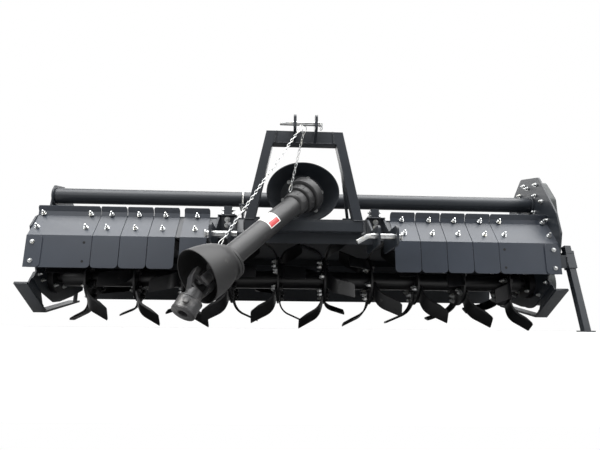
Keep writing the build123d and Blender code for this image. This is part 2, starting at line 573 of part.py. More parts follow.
outer_face = strip_side(0.0)
inner_face = strip_side(TINE_THICKNESS)
tine_profile = make_face(outer_face + inner_face + [Line(outer_face[0] @ 0, inner_face[0] @ 0),
                                                    Line(outer_face[2] @ 1, inner_face[2] @ 1)])
# The sickle from the side, in (radius, lead over the radius through the root)
half_root = TINE_ROOT_WIDTH / 2
heel = TINE_LEAD - TINE_BLADE_WIDTH
tine_side = outline([(TINE_ROOT_RADIUS, -half_root), (TINE_ROOT_RADIUS, half_root), (100.0, half_root + 9.0),
                     (150.0, TINE_LEAD - 46.0), (TIP_FACE + 5.0, TINE_LEAD), (TIP_FACE + 5.0, heel),
                     (165.0, heel - 40.0), (120.0, -half_root + 9.0)])
tine_plan = [(0.0, -half_root), (FACE_X + TINE_REACH, heel, TINE_CORNER),
             (FACE_X + TINE_REACH, TINE_LEAD, TINE_CORNER), (0.0, TINE_LEAD)]
tine = extrude(tine_profile, amount=TIP_RADIUS, both=True) & side_plate(tine_side, 0.0, TIP_RADIUS)
tine &= front_plate(tine_plan, 0.0, TIP_RADIUS)
ROTOR_START = -90.0 - TINE_RAKE
tines = {"left": [], "right": []}
flanges = []
for i, turn in enumerate(FLANGE_TURN):
    x = FLANGE_SHIFT + (i - (len(FLANGE_TURN) - 1) / 2) * FLANGE_PITCH
    flanges.append(rod((x - FACE_X, 0, ROTOR_Z), (x + FACE_X, 0, ROTOR_Z), FLANGE_RADIUS,
                       ROTOR_TUBE_RADIUS))
    for k in range(2 * TINES_PER_HAND):
        angle = ROTOR_START - turn + k * 180.0 / TINES_PER_HAND
        hand = "right" if k % 2 == 0 else "left"
        piece = tine if hand == "right" else mirrored(tine)
        tines[hand].append(Pos(x, 0, ROTOR_Z) * Rot(X=angle) * piece)
ROTOR_HALF = SIDE_INNER_X - BEARING_LENGTH - ROTOR_END_GAP
rotor_tube = rod((-ROTOR_HALF, 0, ROTOR_Z), (ROTOR_HALF, 0, ROTOR_Z), ROTOR_TUBE_RADIUS,
                 ROTOR_TUBE_RADIUS - ROTOR_TUBE_WALL)
for sign in (-1, 1):
    rotor_tube += rod((sign * (ROTOR_HALF - ROTOR_PLUG), 0, ROTOR_Z), (sign * ROTOR_HALF, 0, ROTOR_Z),
                      ROTOR_TUBE_RADIUS)
    rotor_tube += rod((sign * ROTOR_HALF, 0, ROTOR_Z), (sign * (SIDE_INNER_X - RUNNING_GAP), 0, ROTOR_Z),
                      STUB_RADIUS)
    side = "left" if sign < 0 else "right"
    nodes["rotor_bearing_" + side] = rod((sign * (SIDE_INNER_X - BEARING_LENGTH), 0, ROTOR_Z),
                                         (sign * SIDE_INNER_X, 0, ROTOR_Z), BEARING_RADIUS,
                                         STUB_RADIUS + RUNNING_FIT)
nodes["rotor_tube"] = rotor_tube
nodes["rotor_flanges"] = group(flanges)
nodes["tines_left"] = group(tines["left"])
nodes["tines_right"] = group(tines["right"])

# Rear flap and its hinge
HINGE_Y = HOOD_REAR_EDGE_Y + HINGE_OFFSET
HINGE_Z = HOOD_REAR_EDGE_Z
flap_half = SIDE_INNER_X - FLAP_SIDE_GAP
nodes["flap_hinge_rod"] = rod((-flap_half, HINGE_Y, HINGE_Z), (flap_half, HINGE_Y, HINGE_Z),
                              FLAP_HINGE_RADIUS)
flap = side_plate(folded([(HINGE_Y, HINGE_Z - FLAP_HINGE_RADIUS),
                          (HINGE_Y + FLAP_KNEE_BACK, HINGE_Z - FLAP_KNEE_DROP),
                          (FLAP_BOTTOM_Y, FLAP_BOTTOM_Z)], FLAP_THICKNESS),
                  -flap_half, flap_half)
hood_knuckles = []
for i in range(KNUCKLE_COUNT):
    x = (i - (KNUCKLE_COUNT - 1) / 2) * KNUCKLE_PITCH
    flap += rod((x - KNUCKLE_LENGTH / 2, HINGE_Y, HINGE_Z), (x + KNUCKLE_LENGTH / 2, HINGE_Y, HINGE_Z),
                KNUCKLE_RADIUS)
    for sign in (-1, 1):
        start = x + sign * (KNUCKLE_LENGTH / 2 + KNUCKLE_GAP)
        end = start + sign * KNUCKLE_LENGTH / 2
        knuckle = rod((start, HINGE_Y, HINGE_Z), (end, HINGE_Y, HINGE_Z), KNUCKLE_RADIUS)
        knuckle += block(min(start, end), max(start, end), HOOD_REAR_EDGE_Y, HINGE_Y - FLAP_HINGE_RADIUS,
                         HOOD_REAR_EDGE_Z, HOOD_REAR_EDGE_Z + HOOD_THICKNESS)
        hood_knuckles.append(knuckle)
hinge_bore = rod((-SIDE_INNER_X, HINGE_Y, HINGE_Z), (SIDE_INNER_X, HINGE_Y, HINGE_Z),
                 FLAP_HINGE_RADIUS + RUNNING_FIT)
for i in range(KNUCKLE_COUNT):
    x = (i - (KNUCKLE_COUNT - 1) / 2) * KNUCKLE_PITCH
    for sign in (-1, 1):
        start = x + sign * KNUCKLE_LENGTH / 2
        end = start + sign * (KNUCKLE_LENGTH / 2 + KNUCKLE_GAP + FLAP_CUT_GAP)
        flap -= rod((start, HINGE_Y, HINGE_Z), (end, HINGE_Y, HINGE_Z), KNUCKLE_RADIUS + FLAP_CUT_GAP)
nodes["rear_flap"] = flap - hinge_bore
nodes["hood_knuckles"] = group([k - hinge_bore for k in hood_knuckles])

# Driveline, along its own slanted axis
joint_centre = Vector(HITCH_X + JOINT_SIDE, JOINT_Y, INPUT_Z - JOINT_DROP)
outer_centre = joint_centre + SHAFT_DIRECTION * OUTER_JOINT
cross_axis_a = SHAFT_DIRECTION.cross(YOKE_DIRECTION).normalized()
cross_axis_b = YOKE_DIRECTION.cross(cross_axis_a).normalized()
shaft_place = Plane(origin=joint_centre, z_dir=SHAFT_DIRECTION, x_dir=cross_axis_a)
yoke_place = Plane(origin=outer_centre, z_dir=YOKE_DIRECTION, x_dir=cross_axis_b)
bell_place = Plane(origin=joint_centre + SHAFT_DIRECTION * COLLAR_END, z_dir=BELL_DIRECTION)


def ring(low, high, radius, bore=0.0):
    """A ring on the driveline axis between two distances from the joint."""
    bar = Pos(0, 0, low) * Cylinder(radius, high - low, align=CENTRE_MIN)
    if bore:
        bar -= Pos(0, 0, low) * Cylinder(bore, high - low, align=CENTRE_MIN)
    return bar


def turned(profile):
    """A solid turned round Z from a profile of (distance, radius)."""
    points = [(0.0, profile[0][0])] + [(radius, along) for along, radius in profile]
    return revolve(Plane.XZ * outline(points + [(0.0, profile[-1][0])]), Axis.Z)


def fork(hub_steps, hub_bore):
    """A yoke: a stepped hub on Z past the joint and two ears on X that reach back round the joint."""
    hub_start = hub_steps[0][0]
    body = Pos(0, 0, -EAR_OVER) * Box(2 * EAR_OUTER, EAR_WIDTH, hub_start + EAR_OVER + EAR_ROOT,
                                      align=CENTRE_MIN)
    body -= Pos(0, 0, -EAR_OVER) * Box(2 * EAR_INNER, 2 * EAR_WIDTH, hub_start + EAR_OVER,
                                       align=CENTRE_MIN)
    body &= turned([(-EAR_OVER, EAR_SWEEP), (EAR_SHOULDER, EAR_SWEEP),
                    (hub_start + EAR_ROOT, hub_steps[0][2])])
    for low, high, radius in hub_steps:
        body += ring(low, high, radius)
    if hub_bore:
        body -= ring(hub_start, hub_steps[-1][1], hub_bore)
    holes = Rot(Y=90) * Cylinder(CROSS_RADIUS + RUNNING_FIT, 4 * EAR_OUTER)
    return body - holes


BORE_WALL = SHAFT_RADIUS + RUNNING_FIT
guard_steps = [(-10.0, 26.0, 78.0), (26.0, 62.0, 63.5), (62.0, GUARD_TUBE_START, 52.5)]
inner_guard = None
for low, high, radius in guard_steps:
    step_ring = ring(low, high, radius)
    inner_guard = step_ring if inner_guard is None else inner_guard + step_ring
for low, high, radius in guard_steps:
    hollow_end = min(high, GUARD_TUBE_START - GUARD_END_LENGTH) - BELL_WALL
    inner_guard -= ring(low - BELL_WALL, hollow_end, radius - BELL_WALL)
inner_guard -= ring(guard_steps[0][0], GUARD_TUBE_START, BORE_WALL)
nodes["inner_guard"] = shaft_place * inner_guard
nodes["guard_tube"] = shaft_place * ring(GUARD_TUBE_START, COLLAR_START, GUARD_TUBE_RADIUS,
                                         GUARD_TUBE_RADIUS - GUARD_TUBE_WALL)
collar = shaft_place * ring(COLLAR_START, COLLAR_END, COLLAR_RADIUS)
bell_hollow = [(along + BELL_WALL, radius - BELL_WALL) for along, radius in BELL_PROFILE]
bell = bell_place * (turned(BELL_PROFILE) - turned(bell_hollow))
nodes["outer_cone"] = (collar + bell) - shaft_place * ring(0.0, OUTER_JOINT, BORE_WALL)
shaft_bar = ring(SHAFT_START, OUTER_JOINT - FORK_HUB_START, SHAFT_RADIUS)
shaft_fork = Pos(0, 0, OUTER_JOINT) * (Rot(X=180) * fork([(FORK_HUB_START, FORK_HUB_END,
                                                           SHAFT_HUB_RADIUS)], 0.0))
nodes["driveline_shaft"] = shaft_place * (shaft_bar + shaft_fork)
yoke = fork([(FORK_HUB_START, NECK_END, NECK_RADIUS), (NECK_END, YOKE_HUB_END, YOKE_COLLAR_RADIUS)],
            HUB_BORE / 2)
button_start = Vector(0, 0, (NECK_END + YOKE_HUB_END) / 2)
button_side = Vector(0, -1, 0).rotate(Axis.Z, BUTTON_TURN)
yoke += rod(button_start + button_side * (YOKE_COLLAR_RADIUS - BUTTON_SEAT),
            button_start + button_side * (YOKE_COLLAR_RADIUS + BUTTON_HEIGHT), BUTTON_RADIUS)
nodes["outer_yoke"] = yoke_place * yoke
arm = Cylinder(CROSS_RADIUS, 2 * (EAR_OUTER - CROSS_END_GAP))
nodes["driveline_cross"] = yoke_place * (Rot(Y=90) * arm + Rot(X=90) * arm + Sphere(CROSS_BODY_RADIUS))

# Chains that hold the driveline guard, taut from the top-link pin
guard_up = (Vector(0, 0, 1) - SHAFT_DIRECTION * SHAFT_DIRECTION.Z).normalized()


def taut_chain(x_on_pin, along_shaft, guard_radius):
    """A straight chain from the top-link pin to the guard, its ends just clear of both."""
    pin_centre = Vector(x_on_pin, TOP_PIN_Y, TOP_PIN_Z)
    guard_centre = joint_centre + SHAFT_DIRECTION * along_shaft
    run = guard_centre + guard_up * guard_radius - pin_centre
    down = Vector(0, run.Y, run.Z).normalized()
    pin_lean = abs(run.X) / run.length
    guard_lean = math.sin(math.radians(180.0 - run.get_angle(guard_up)))
    start = pin_centre + down * (TOP_PIN_DIAMETER / 2 + SEAT_GAP + CHAIN_RADIUS * pin_lean)
    end = guard_centre + guard_up * (guard_radius + SEAT_GAP + CHAIN_RADIUS * guard_lean)
    return rod(start, end, CHAIN_RADIUS)


nodes["chain_long"] = taut_chain(HITCH_X - 14.0, (COLLAR_START + COLLAR_END) / 2, COLLAR_RADIUS)
nodes["chain_short"] = taut_chain(HITCH_X - 2.0, sum(guard_steps[-1][:2]) / 2, guard_steps[-1][2])

# The origin is the middle of the footprint, on the floor
boxes = [shape.bounding_box() for shape in nodes.values()]
SHIFT = Vector(-(min(b.min.X for b in boxes) + max(b.max.X for b in boxes)) / 2,
               -(min(b.min.Y for b in boxes) + max(b.max.Y for b in boxes)) / 2,
               -min(b.min.Z for b in boxes))

os.makedirs("parts", exist_ok=True)
for name, shape in nodes.items():
    export_step(Pos(SHIFT) * shape, "parts/" + name + ".step")
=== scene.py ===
"""Looks of a rotary tiller: paint, fasteners, chains, fittings and a plain studio."""

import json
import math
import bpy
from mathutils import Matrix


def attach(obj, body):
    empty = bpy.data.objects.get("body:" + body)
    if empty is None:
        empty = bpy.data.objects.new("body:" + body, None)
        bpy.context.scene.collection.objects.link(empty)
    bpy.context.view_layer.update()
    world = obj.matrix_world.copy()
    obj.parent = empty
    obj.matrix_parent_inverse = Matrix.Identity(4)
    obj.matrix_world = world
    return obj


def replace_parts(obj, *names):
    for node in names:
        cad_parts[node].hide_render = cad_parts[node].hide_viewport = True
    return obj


bl_info = {
    "name": "Rotary Tiller Looks",
    "version": (1, 0, 0),
    "blender": (4, 5, 0),
    "location": "View3D > Sidebar > Tiller",
    "description": "Paints a rotary tiller and fits its fasteners, chains, pins and studio",
    "category": "Object",
}

import bmesh
import bpy
from bpy.props import FloatProperty, FloatVectorProperty, IntProperty, PointerProperty
from mathutils import Matrix, Vector

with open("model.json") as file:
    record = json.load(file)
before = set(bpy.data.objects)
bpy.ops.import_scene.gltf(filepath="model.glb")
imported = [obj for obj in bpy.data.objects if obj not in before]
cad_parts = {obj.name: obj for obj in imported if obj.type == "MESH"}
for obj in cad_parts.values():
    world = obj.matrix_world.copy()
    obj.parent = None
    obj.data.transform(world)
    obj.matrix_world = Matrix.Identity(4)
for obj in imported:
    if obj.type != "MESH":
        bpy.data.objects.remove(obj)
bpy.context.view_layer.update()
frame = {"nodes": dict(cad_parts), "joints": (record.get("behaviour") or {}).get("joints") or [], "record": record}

MM = 0.001
NODES = frame["nodes"]
JOINTS = {joint["name"]: joint for joint in frame["joints"]}

# The solids were drawn in millimetres, with the rotor's axis over the drawing's zero point on the floor.
ROTOR_HEIGHT = 245.0
AXIS_POINT = Vector(JOINTS["rotor_spin"]["pos_m"])
DRAWING_ORIGIN = AXIS_POINT - Vector((0.0, 0.0, ROTOR_HEIGHT * MM))


def at(x, y, z):
    """A point of the drawing, in metres of the model."""
    return DRAWING_ORIGIN + Vector((x, y, z)) * MM


# The two sides, by the sign of X, and the way the front faces
SIDES = {-1: "left", 1: "right"}
FORWARD = (0.0, -1.0, 0.0)


# Node trees


class Wire:
    """A socket whose operators add Math nodes."""

    def __init__(self, tree, socket):
        self.tree = tree
        self.socket = socket

    def math(self, operation, *others):
        return self.tree.add("ShaderNodeMath", {"operation": operation}, dict(enumerate((self, *others))))

    def __add__(self, other):
        return self.math("ADD", other)

    def __sub__(self, other):
        return self.math("SUBTRACT", other)

    def __mul__(self, other):
        return self.math("MULTIPLY", other)

    def __truediv__(self, other):
        return self.math("DIVIDE", other)

    def __rsub__(self, other):
        return self * -1.0 + other

    __radd__ = __add__

    def step(self, low, high):
        """0 below low, 1 above high, and smooth between them."""
        settings = {"interpolation_type": "SMOOTHSTEP"}
        sockets = {"Value": self, "From Min": low, "From Max": high}
        return self.tree.add("ShaderNodeMapRange", settings, sockets)

    def within(self, start, end):
        """1 from one soft step to another, and 0 outside them."""
        return self.step(*start) * (1.0 - self.step(*end))

    def swing(self, reach):
        """Noise with its middle brought to 0, times reach."""
        return (self - 0.5) * reach


class Tree:
    """Adds nodes to a shader tree or a geometry tree."""

    def __init__(self, tree):
        self.tree = tree

    def feed(self, socket, value):
        """Links a wire or a list of wires to a socket, or writes a plain value on it."""
        if isinstance(value, Wire):
            self.tree.links.new(value.socket, socket)
        elif isinstance(value, list):
            for wire in value:
                self.tree.links.new(wire.socket, socket)
        else:
            socket.default_value = value

    def add(self, kind, settings=None, sockets=None, out=0):
        """Adds a node with its settings and its sockets. Returns its output named or numbered out."""
        node = self.tree.nodes.new(kind)
        for key, value in (settings or {}).items():
            setattr(node, key, value)
        for key, value in (sockets or {}).items():
            self.feed(node.inputs[key], value)
        return Wire(self, node.outputs[out]) if node.outputs else None

    def blend(self, factor, first, second):
        """A colour between first and second."""
        return self.add("ShaderNodeMix", {"data_type": "RGBA"}, {0: factor, 6: first, 7: second}, out=2)

    def shades(self, factor, rgb, shares):
        """A colour between two shades of rgb."""
        return self.blend(factor, *(colour(rgb, share) for share in shares))

    def noise(self, scale, detail=2.0, roughness=0.5, where=None):
        """Noise over the object's own coordinates."""
        where = where or self.add("ShaderNodeTexCoord", out="Object")
        return self.add("ShaderNodeTexNoise", None,
                        {"Vector": where, "Scale": scale, "Detail": detail, "Roughness": roughness})

    def stretched(self, scale):
        """Object coordinates with another scale on each axis."""
        where = self.add("ShaderNodeTexCoord", out="Object")
        return self.add("ShaderNodeMapping", None, {"Vector": where, "Scale": scale})

    def bump(self, height, strength, distance, normal=None):
        """A Bump node's normal."""
        sockets = {"Strength": strength, "Distance": distance, "Height": height}
        if normal:
            sockets["Normal"] = normal
        return self.add("ShaderNodeBump", None, sockets)


def colour(rgb, share=1.0):
    """A colour with alpha, lighter or darker by share."""
    return tuple(min(1.0, channel * share) for channel in rgb) + (1.0,)


def new_material(name, **fixed):
    """A material with a Principled shader. Returns it, its tree and a function that feeds the shader."""
    material = bpy.data.materials.new(name)
    material.use_nodes = True
    material.node_tree.nodes.clear()
    tree = Tree(material.node_tree)
    shader = material.node_tree.nodes.new("ShaderNodeBsdfPrincipled")
    output = material.node_tree.nodes.new("ShaderNodeOutputMaterial")
    material.node_tree.links.new(shader.outputs[0], output.inputs[0])

    def feed(**channels):
        for key, value in channels.items():
            tree.feed(shader.inputs[key.replace("_", " ")], value)

    feed(**fixed)
    return material, tree, feed


# Finishes

# Radius of the soft edges in metres, and the samples that find them
EDGE_ROUNDING = 0.0018
EDGE_SAMPLES = 4
DUST = (0.30, 0.29, 0.27)
# Black of the discs at holes: painted shade inside the holes
HOLE_SHADE = (0.004, 0.004, 0.004)
LABEL_WHITE = (0.80, 0.79, 0.76)
LABEL_RED = (0.55, 0.03, 0.03)
# How much darker the outer cone is than the rest of the guard: painted shade, a shaded copy of the guard plastic
BELL_SHADE_SHARE = 0.6


def soft_edges(tree, radius=EDGE_ROUNDING):
    """A normal that rounds the sharp edges of plates for the light."""
    return tree.add("ShaderNodeBevel", {"samples": EDGE_SAMPLES}, {"Radius": radius})


# Satin paint: its shades as shares of its colour, how its gloss wavers, how much cover a speck of dust has
# beside the film of dust, and how much a full film would add to the roughness
SATIN_SHADES = (0.86, 1.14)
SATIN_WAVER = 0.12
SMEAR_WAVER = 0.10
SPECK_COVER = 0.25
FILM_ROUGHNESS = 0.8


def satin_paint(name, rgb, roughness=0.42, dust=0.10):
    """Sprayed paint on plate: orange peel, cloudy gloss, and a little dust on faces that look up."""
    material, tree, feed = new_material(name, Specular_IOR_Level=0.5)
    cloud = tree.noise(scale=2.2, detail=4.0)
    smear = tree.noise(scale=1.0, detail=3.0, where=tree.stretched((9.0, 30.0, 9.0)))
    peel = tree.noise(scale=260.0, detail=1.0)
    up = tree.add("ShaderNodeSeparateXYZ", None,
                  {0: tree.add("ShaderNodeNewGeometry", out="Normal")}, out=2)
    settled = tree.noise(scale=14.0, detail=5.0, roughness=0.65).step(low=0.35, high=0.75)
    film = up.step(low=0.25, high=1.0) * settled * dust
    specks = tree.noise(scale=380.0, detail=2.0, roughness=0.7).step(low=0.71, high=0.78) * SPECK_COVER
    tone = tree.shades(cloud.step(low=0.35, high=0.7), rgb, SATIN_SHADES)
    waver = cloud.swing(SATIN_WAVER) + smear.swing(SMEAR_WAVER)
    feed(Base_Color=tree.blend(film + specks * dust, tone, colour(DUST)),
         Roughness=roughness + waver + film * FILM_ROUGHNESS,
         Normal=tree.bump(peel, strength=0.10, distance=0.0006, normal=soft_edges(tree)))
    return material


# Paint on castings
CAST_SHADES = (0.8, 1.25)
CAST_ROUGHNESS = 0.5
CAST_WAVER = 0.25


def cast_paint(name, rgb):
    """Paint on a rough casting."""
    material, tree, feed = new_material(name, Specular_IOR_Level=0.5)
    cloud = tree.noise(scale=6.0, detail=5.0, roughness=0.6).step(low=0.3, high=0.72)
    grain = tree.noise(scale=170.0, detail=4.0, roughness=0.65)
    edges = soft_edges(tree, 2 * EDGE_ROUNDING)
    feed(Base_Color=tree.shades(cloud, rgb, CAST_SHADES), Roughness=CAST_ROUGHNESS + grain.swing(CAST_WAVER),
         Normal=tree.bump(grain, strength=0.35, distance=0.0015, normal=edges))
    return material


# Blades: the steel under the paint, how far it shows in the thin spots, and how rough they are
BLADE_STEEL = (0.12, 0.116, 0.112)
THIN_SHOWS = 0.35
THIN_ROUGHNESS = 0.15
BLADE_ROUGHNESS = 0.34
BLADE_WAVER = 0.25


def blade_paint(name, rgb):
    """Black dipped blades: thick and glossy, with forge scale and thin spots that show a little steel."""
    material, tree, feed = new_material(name, Specular_IOR_Level=0.55)
    cloud = tree.noise(scale=9.0, detail=5.0, roughness=0.6)
    scale = tree.noise(scale=60.0, detail=5.0, roughness=0.7)
    thin = (scale * cloud).step(low=0.38, high=0.46)
    feed(Base_Color=tree.blend(thin * THIN_SHOWS, colour(rgb), colour(BLADE_STEEL)),
         Roughness=BLADE_ROUGHNESS + cloud.swing(BLADE_WAVER) + thin * THIN_ROUGHNESS,
         Normal=tree.bump(scale, strength=0.25, distance=0.0012, normal=soft_edges(tree)))
    return material


# Zinc: its shades, the tint of its patches and how strong they are
ZINC_SHADES = (0.85, 1.12)
ZINC_TINT = (0.72, 0.66, 0.48)
TINT_STRENGTH = 0.35
ZINC_ROUGHNESS = 0.30
ZINC_WAVER = 0.2


def bright_zinc(name, rgb):
    """Bright zinc plating with faint yellow patches."""
    material, tree, feed = new_material(name, Metallic=1.0)
    drift = tree.noise(scale=45.0, detail=3.0)
    fine = tree.noise(scale=700.0, detail=2.0)
    tone = tree.shades(drift.step(low=0.3, high=0.5), rgb, ZINC_SHADES)
    tint = drift.step(low=0.52, high=0.7) * TINT_STRENGTH
    feed(Base_Color=tree.blend(tint, tone, colour(ZINC_TINT)),
         Roughness=ZINC_ROUGHNESS + fine.swing(ZINC_WAVER),
         Normal=tree.bump(fine, strength=0.08, distance=0.0004))
    return material


# Moulded plastic: its shades, how its gloss wavers, and how pale and rough its scuffs are
MOULDED_SHADES = (0.85, 1.2)
MOULDED_WAVER = 0.12
SCUFF_STRENGTH = 0.14


def moulded_plastic(name, rgb, roughness=0.42):
    """Moulded guard plastic: fine texture, cloudy flow marks and streaks of scuffs."""
    material, tree, feed = new_material(name, Specular_IOR_Level=0.5)
    skin = tree.noise(scale=420.0, detail=2.0, roughness=0.6)
    flow = tree.noise(scale=5.0, detail=3.0)
    streaks = tree.noise(scale=1.0, detail=6.0, roughness=0.7, where=tree.stretched((60.0, 12.0, 25.0)))
    scuff = streaks.step(low=0.62, high=0.72) * SCUFF_STRENGTH
    tone = tree.shades(flow.step(low=0.3, high=0.7), rgb, MOULDED_SHADES)
    feed(Base_Color=tree.blend(scuff, tone, colour(DUST)),
         Roughness=roughness + flow.swing(MOULDED_WAVER) + scuff,
         Normal=tree.bump(skin, strength=0.18, distance=0.0005, normal=soft_edges(tree)))
    return material


# Joint steel: the tint of its worn spots and how far it shows, and how metallic the scale is and the spots
WORN_STEEL = (0.20, 0.195, 0.19)
WORN_SHOWS = 0.7
SCALE_METALLIC = 0.15
WORN_METALLIC = 0.6
JOINT_ROUGHNESS = 0.42
JOINT_WAVER = 0.3


def bare_casting(name, rgb):
    """A forged and machined joint: dark scale with oily, brighter worn spots."""
    material, tree, feed = new_material(name, Specular_IOR_Level=0.6)
    grain = tree.noise(scale=120.0, detail=5.0, roughness=0.7)
    patch = tree.noise(scale=18.0, detail=4.0, roughness=0.6).step(low=0.5, high=0.66)
    edges = soft_edges(tree, 2 * EDGE_ROUNDING)
    feed(Base_Color=tree.blend(patch * WORN_SHOWS, colour(rgb), colour(WORN_STEEL)),
         Metallic=patch * WORN_METALLIC + SCALE_METALLIC,
         Roughness=JOINT_ROUGHNESS + grain.swing(JOINT_WAVER),
         Normal=tree.bump(grain, strength=0.4, distance=0.0012, normal=edges))
    return material


# Plain plastic
PLAIN_SHADES = (0.92, 1.05)
PLAIN_WAVER = 0.1


def plain_plastic(name, rgb, roughness=0.4):
    """Plain plastic of the filler cap, and the painted shade inside open holes."""
    material, tree, feed = new_material(name)
    skin = tree.noise(scale=300.0, detail=2.0)
    feed(Base_Color=tree.shades(skin.step(low=0.3, high=0.7), rgb, PLAIN_SHADES),
         Roughness=roughness + skin.swing(PLAIN_WAVER),
         Normal=tree.bump(skin, strength=0.1, distance=0.0004))
    return material


# The label: the soft ends of its band, as shares of its length round the tube and of its height, the
# colour of its soil and how far that covers it, how rough it is clean, and how much rougher under soil
BAND_LENGTH = ((0.785, 0.79), (0.97, 0.975))
BAND_HEIGHT = ((0.07, 0.08), (0.92, 0.93))
LABEL_SOIL = (0.18, 0.174, 0.162)
SOIL_COVER = 0.25
LABEL_ROUGHNESS = 0.35
SOIL_ROUGHNESS = 0.6


def blank_label(name, field, band):
    """A blank sticker: a plain field with a plain band, a little soiled. Reads the piece's UV."""
    material, tree, feed = new_material(name, Coat_Roughness=0.15, Coat_Weight=0.3)
    place = tree.add("ShaderNodeTexCoord", out="UV")
    length = tree.add("ShaderNodeSeparateXYZ", None, {0: place}, out=0)
    height = tree.add("ShaderNodeSeparateXYZ", None, {0: place}, out=1)
    in_band = length.within(*BAND_LENGTH) * height.within(*BAND_HEIGHT)
    printed = tree.blend(in_band, colour(field), colour(band))
    soil = tree.noise(scale=30.0, detail=5.0, roughness=0.7).step(low=0.45, high=0.8) * SOIL_COVER
    feed(Base_Color=tree.blend(soil, printed, colour(LABEL_SOIL)),
         Roughness=LABEL_ROUGHNESS + soil * SOIL_ROUGHNESS)
    return material


FINISHES = {}


def mix_finishes(paint):
    """Makes every finish once, from the colours of the paint settings."""
    FINISHES.update({
        "frame_paint": satin_paint("Frame paint", paint.frame),
        "shield_paint": satin_paint("Shield paint", paint.shield, roughness=0.38),
        "rotor_paint": satin_paint("Rotor paint", paint.rotor, roughness=0.36, dust=0.04),
        "blade_paint": blade_paint("Blade paint", paint.rotor),
        "case_paint": cast_paint("Gear case paint", paint.case),
        "zinc": bright_zinc("Bright zinc", paint.zinc),
        "guard_plastic": moulded_plastic("Guard plastic", paint.guard),
        # The outer cone's plastic is the guard plastic darkened: painted shade
        "bell_shaded_plastic": moulded_plastic("Bell plastic in painted shade", [channel * BELL_SHADE_SHARE for channel in paint.guard],
                                        roughness=0.55),
        "cast_steel": bare_casting("Joint steel", paint.joint),
        "cap_plastic": plain_plastic("Cap plastic", paint.cap),
        # The black of the hole discs is painted shade
        "painted_hole_shade": plain_plastic("Painted hole shade", HOLE_SHADE, roughness=0.8),
        "label": blank_label("Blank label", LABEL_WHITE, LABEL_RED),
    })


# Pieces

# Edges over this angle in degrees are shown sharp
SHARP_ANGLE = 32.0


def keep_piece(name, mesh, body, slot, finish=None):
    """Puts a finished mesh in the scene on its body, with its finish."""
    piece = bpy.data.objects.new(name, mesh)
    bpy.context.scene.collection.objects.link(piece)
    mesh.materials.clear()
    mesh.materials.append(FINISHES[finish or slot])
    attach(piece, body)
    return piece


def frozen(source, name):
    """The plain mesh of an object as evaluated; the object itself is removed."""
    bpy.context.view_layer.update()
    graph = bpy.context.evaluated_depsgraph_get()
    mesh = bpy.data.meshes.new_from_object(source.evaluated_get(graph), depsgraph=graph)
    mesh.name = name
    bpy.data.objects.remove(source)
    return mesh


def new_group(name, inputs):
    """A geometry tree with named inputs. Returns it, its Tree and its input wires."""
    group = bpy.data.node_groups.new(name, "GeometryNodeTree")
    group.interface.new_socket("Geometry", in_out="INPUT", socket_type="NodeSocketGeometry")
    for label, kind in inputs:
        group.interface.new_socket(label, in_out="INPUT", socket_type=kind)
    group.interface.new_socket("Geometry", in_out="OUTPUT", socket_type="NodeSocketGeometry")
    tree = Tree(group)
    entry = group.nodes.new("NodeGroupInput")
    wires = {socket.name: Wire(tree, socket) for socket in entry.outputs if socket.name}
    return group, tree, wires


def close_group(tree, instances, material):
    """Ends a tree in Realize Instances and Set Material."""
    real = tree.add("GeometryNodeRealizeInstances", None, {0: instances})
    done = tree.add("GeometryNodeSetMaterial", None, {"Geometry": real, "Material": material})
    exit_node = tree.tree.nodes.new("NodeGroupOutput")
    tree.tree.links.new(done.socket, exit_node.inputs[0])


def run_group(group, mesh, name, values):
    """Runs a geometry tree on a mesh and returns the plain result."""
    carrier = bpy.data.objects.new(name, mesh)
    bpy.context.scene.collection.objects.link(carrier)
    modifier = carrier.modifiers.new("Rows", "NODES")
    modifier.node_group = group
    for socket in group.interface.items_tree:
        if socket.in_out == "INPUT" and socket.name in values:
            modifier[socket.identifier] = values[socket.name]
    return frozen(carrier, name)


def upright(tree, height, shape):
    """Lifts a shape to a height above the point it stands on."""
    lift = tree.add("ShaderNodeCombineXYZ", None, {"Z": height})
    return tree.add("GeometryNodeTransform", None, {"Geometry": shape, "Translation": lift})


# Shares of a nut and its stud: the six-sided part of the nut's height, the crown's radii by the width across
# flats, and the length and end of the stud's point by its radius
NUT_BODY = 0.86
CROWN_TOP = 0.42
CROWN_BOTTOM = 0.5
POINT_LENGTH = 0.4
POINT_END = 0.7
# How many sides each piece of a fastener has
WASHER_SIDES = 20
NUT_SIDES = 6
CROWN_SIDES = 18
STUD_SIDES = 12
# Seed of the turns of the nuts
NUT_SEED = 7


